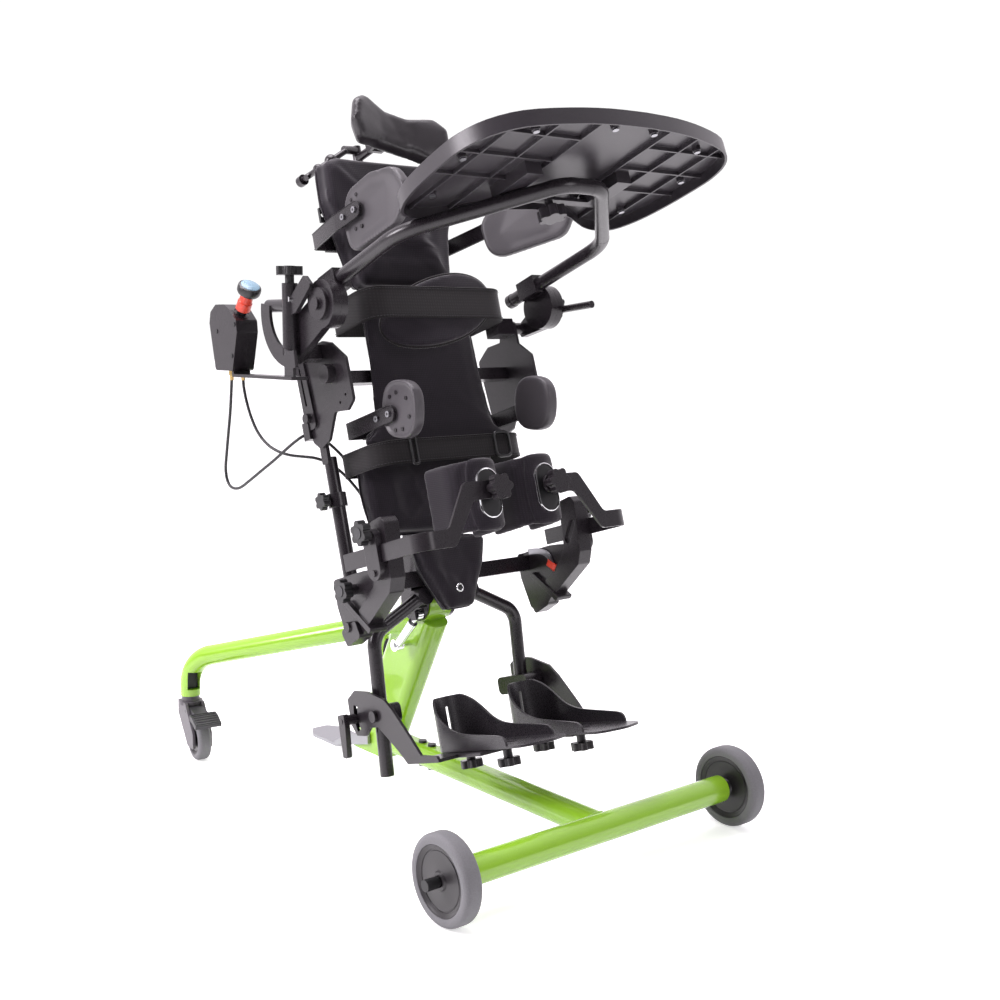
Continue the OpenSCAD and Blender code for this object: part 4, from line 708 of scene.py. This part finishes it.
# HAND CONTROL
# A moulded housing screwed to a sheet steel bracket, with a push knob on a red collar.
# The wires leave it through two brass glands in its floor.
dress(["control_bracket", "control_box"], graphite)
studded("control_screws", [level(-254.2, y, z) for y, z in ((182, 400), (231, 439), (172, 450))], [to_left] * 3,
        0.0036, 0.002, 24, nylon, "tilt")
brass = surface("brass", (0.62, 0.44, 0.18), 0.28, 700, 0.00002, metal=1.0)
for name, x, y in (("cable_gland_outer", -238, 214), ("cable_gland_inner", -226, 198)):
    down = (Matrix.Translation(level(x, y, 376))
            @ Vector((0, 0, -1)).to_track_quat("X", "Y").to_matrix().to_4x4())
    piece(name, turned([(-0.002, 0.0026), (-0.002, 0.0046), (0.007, 0.0046), (0.008, 0.0034), (0.016, 0.0030),
                        (0.016, 0.0026)], down, 32), brass, "tilt", 35)
signal_red = surface("signal_red", (0.75, 0.06, 0.03), 0.3, 700, 0.00003)
cap_blue = surface("cap_blue", (0.22, 0.36, 0.46), 0.3, 700, 0.00002)
push = Vector((0, -0.58, 0.81)).normalized()
push_place = (Matrix.Translation(level(-235, 186, 462))
              @ push.to_track_quat("X", "Z").to_matrix().to_4x4())
for name, profile, finish, slot in (
        ("push_stem", [(0, 0), (0, 7), (15, 7), (15, 0)], nylon, "moulded_black"),
        ("push_collar", [(14, 0), (14, 10.8), (15.2, 12), (29, 12), (30, 11.2), (31, 10.6), (43, 10.2), (44.2, 9),
                         (44.2, 0)], signal_red, "signal_red"),
        ("push_knob", [(44, 0), (44, 13.5), (45, 16.6), (48, 18.6), (51, 19), (56, 19), (58.8, 18), (60, 16),
                       (60, 0)], nylon, "moulded_black"),
        ("push_cap", [(59.5, 0), (59.5, 15.4), (60.8, 15), (61.6, 13.6), (62, 0)], cap_blue, "grey_plastic")):
    made = piece(name, turned([(a / 1000, b / 1000) for a, b in profile], push_place, 48, closed=False), finish,
                 "control_knob", 35)
    if name == "push_knob":
        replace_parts(made, "control_knob")


# TRAY
# A moulded black plastic tray with ribs underneath and a raised rim.
# Plated screws and one hand knob hold it to the loop of the arms.
def merged(node, finish, body, angle=35):
    """A copy of a CAD node with its points joined, so that its curves shade smoothly, in the node's place."""
    joined = bmesh.new()
    joined.from_mesh(nodes[node].data)
    bmesh.ops.remove_doubles(joined, verts=joined.verts, dist=1e-6)
    joined.verts.index_update()
    mesh = bpy.data.meshes.new(node)
    mesh.from_pydata([tuple(v.co) for v in joined.verts], [], [[v.index for v in f.verts] for f in joined.faces])
    joined.free()
    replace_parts(piece(f"{node}_skin", mesh, finish, body, angle), node)


tray_black = surface("tray_black", (0.034, 0.030, 0.035), 0.36, 1500, 0.00007, edge=0.0012)
merged("tray", tray_black, "tray")
dress(["tray_screws"], zinc)


# HEADREST, TRUNK GUIDES AND HIP GUIDES
# Foam mouldings with a tough dark grey urethane skin. The guides have a rolled rim and are screwed to
# flat bars of bent steel that slide in the slots behind the pads.
urethane = surface("urethane", (0.026, 0.023, 0.026), 0.34, 900, 0.00008)
guide_skin = surface("guide_skin", (0.060, 0.055, 0.061), 0.42, 900, 0.00006)
saddle = piece("headrest_skin", relaxed(remeshed(nodes["headrest_pad"].data, 0.003), 8), urethane, "headrest_pad",
               180)
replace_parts(saddle, "headrest_pad")
trunk_line = bowed([(144, -25.5, 0), (148, -57, 0), (284, -52, 0), (314, -8, 0), (293, 32, 0), (238, 42, 0),
                    (172, 38, 0), (140, 6, 0), (144, -25.5, 0)], [32] * 7, 8)[:-1]
hip_line = []
for k in range(72):
    across, upward = (44 * math.copysign(abs(w) ** 0.78, w) for w in
                      (math.cos(math.radians(5 * k)), math.sin(math.radians(5 * k))))
    hip_line.append(Vector((204, 2, 0)) + Matrix.Rotation(lean, 3, "Z") @ Vector((across, upward, 0)))
hinge_y, bar_half = -136, 2.5
rim = [(30, 0.62), (9, 0.62), (6, 0.68), (4.4, 0.86), (2.6, 0.98), (1, 0.9), (0.2, 0.66), (0, 0.3), (0, -0.4),
       (0.5, -0.74), (2, -0.93), (5, -1.0), (12, -1.05), (30, -1.1)]
for kind, x0, z0, reach, line, thick, slot_y, toe, curl, holes in (
        ("lateral", 136, 592, 206, trunk_line, 18, -44, 12, 0.001,
         [(176, -24), (194, -26), (176, 22), (194, 24)]),
        ("hip_guide", 131, 276, 196, hip_line, 20, -58, 0, 0,
         [(184, -26), (202, -28), (184, 26), (202, 28), (224, -14), (224, 14)])):
    for side, sign in (("left", -1), ("right", 1)):
        body = f"{kind}_{side}"
        flare = math.radians(28) if body == "lateral_right" else 0
        inner = x0 + thick / 2 - 1.5
        bar_x = inner + bar_half
        hinge = Vector((bar_x, hinge_y, 0))
        middle = (max(p.x for p in line) + min(p.x for p in line)) / 2

        def swung(x, y, z):
            """A point on this guide, turned about the bend of its bar."""
            spot = hinge + Matrix.Rotation(flare, 3, "Z") @ (Vector((x, y, 0)) - hinge)
            return tilted(sign * spot.x, spot.y, z0 + z)

        shape = loft([(p.x, p.y) for p in line], [(i, d * thick / 2) for i, d in rim],
                     lambda u, v, d: swung(x0 + d - curl * (u - middle) ** 2, -u, v))
        skin = piece(f"{body}_pad", relaxed(remeshed(shape, 0.0025), 6), guide_skin, body, 180)
        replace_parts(skin, body)
        rear = bowed([(50, slot_y - bar_half, 0), (bar_x - toe, slot_y - bar_half, 0), (bar_x, -130, 0)], [5])
        front = [swung(bar_x, hinge_y - k, 0) for k in range(0, reach + hinge_y + 1, 2)]
        path = [tilted(sign * p.x, p.y, z0) for p in rear] + front
        ends = [math.sqrt(max(0.02, 1 - max(0, 1 - (path[-1] - p).length / 0.013) ** 2)) for p in path]
        piece(f"{body}_bar", swept(path, flat(0.013, 0.005, 0.0008), tilt_up, widths=ends), satin, body,
              35)
        away = (swung(inner + 10, -170, 0) - swung(inner, -170, 0)).normalized()
        heads = [swung(inner + 6, -u, 0) for u in (reach - 14, reach - 46)]
        studded(f"{body}_screws", heads, [away] * 2, 0.0048, 0.003, 24, zinc, body)
        studded(f"{body}_sockets", [p + away * 0.0002 for p in heads], [away] * 2, 0.0022, 0.003, 6, nylon, body)
        dots = [swung(inner - 2.2 - curl * (u - middle) ** 2, -u, v) for u, v in holes]
        studded(f"{body}_rivets", dots, [away] * len(dots), 0.0032, 0.003, 20, satin, body)


# KNEE SUPPORTS
# Cast brackets clamped on the cross tube, and bent flat bars that slide in their clips, all dark coated.
# The wrap round foam pads have a knit cover, and a nylon plate in a chromed rim where the bar is screwed on.
dress(["knee_bracket_left", "knee_bracket_right", "knee_bar_left", "knee_bar_right"], graphite)
lever = [tilted(176, y, z) for y, z in ((-66, 49), (-78, 48.5), (-98, 45), (-112, 38), (-118, 26), (-120, 12))]
piece("release_lever", swept(eased(lever, 6), flat(0.0012, 0.010, 0.0005), Vector((1, 0, 0))), zinc, "tilt",
      35)
piece("release_tab", swept([tilted(176, -128, 11), tilted(176, -120, 18), tilted(176, -111, 25)],
                           flat(0.003, 0.012, 0.001), Vector((1, 0, 0))), signal_red, "tilt", 35)
knee_x, knee_z = 57, 130
stadium = [(20 * math.cos(a), 18 * (1 if k < 24 else -1) + 20 * math.sin(a)) for k, a in
           ((k, math.radians(7.5 * k)) for k in range(48))]
for side, sign in (("left", -1), ("right", 1)):
    body = f"knee_pad_{side}"
    soft = stuffed(remeshed(nodes[body].data, 0.004), 3, 0.005, lambda co: (to_tilt @ co).y < -0.268)
    pad = piece(f"{body}_cover", soft, navy_knit, body, 180)
    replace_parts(pad, body)
    for name, rings, finish, slot in (
            ("plate", [(12, -278.4), (2.6, -278.4), (1.6, -278), (1.4, -274), (12, -274)], nylon, "moulded_black"),
            ("rim", [(2.2, -274), (2.2, -279.2), (1.4, -279.8), (0.2, -279.4), (0, -278.6), (0, -274)], chrome,
             "chrome")):
        shape = loft(stadium, rings, lambda u, v, d: tilted(sign * knee_x + u, d, knee_z + v))
        piece(f"{body}_{name}", shape, finish, body, 40)


# FOOT SUPPORTS
# Moulded nylon foot plates with a raised round heel, screwed to slotted steel swing plates.
# Clamps of coated cast metal hold them on the leg tubes.
sole_black = surface("sole_black", (0.026, 0.023, 0.027), 0.28, 900, 0.00006, edge=0.0015)
for side in ("left", "right"):
    merged(f"footplate_{side}", sole_black, f"foot_{side}")
    merged(f"foot_arm_{side}", graphite, f"foot_{side}", 40)
    merged(f"foot_clamp_{side}", satin, f"foot_clamp_{side}", 40)


# HAND KNOBS
# Lobed black nylon knobs moulded on steel studs, which lock the adjustable joints.
# A plain round cap closes the hub of each one.
dress(["star_knobs"], nylon)
cap_grey = surface("cap_grey", (0.030, 0.030, 0.033), 0.4, 800, 0.00003)
cap_r, cap_thick = 0.0085, 0.0016
sideways = [(sign * x, y, z) for x, y, z in ((229.2, -174, 103), (224.2, -92, 28)) for sign in (-1, 1)]
sideways.append((249, -176, 448))
caps = [(f"knob_cap_{k}", spot, (math.copysign(1, spot[0]), 0, 0)) for k, spot in enumerate(sideways)]
caps.append(("knob_cap_post", (-234, -121.8, 523.5), (0, 0, 1)))
for name, spot, way in caps:
    studded(name, [tilted(*spot)], [Vector(way)], cap_r, cap_thick, 32, cap_grey, "tilt")
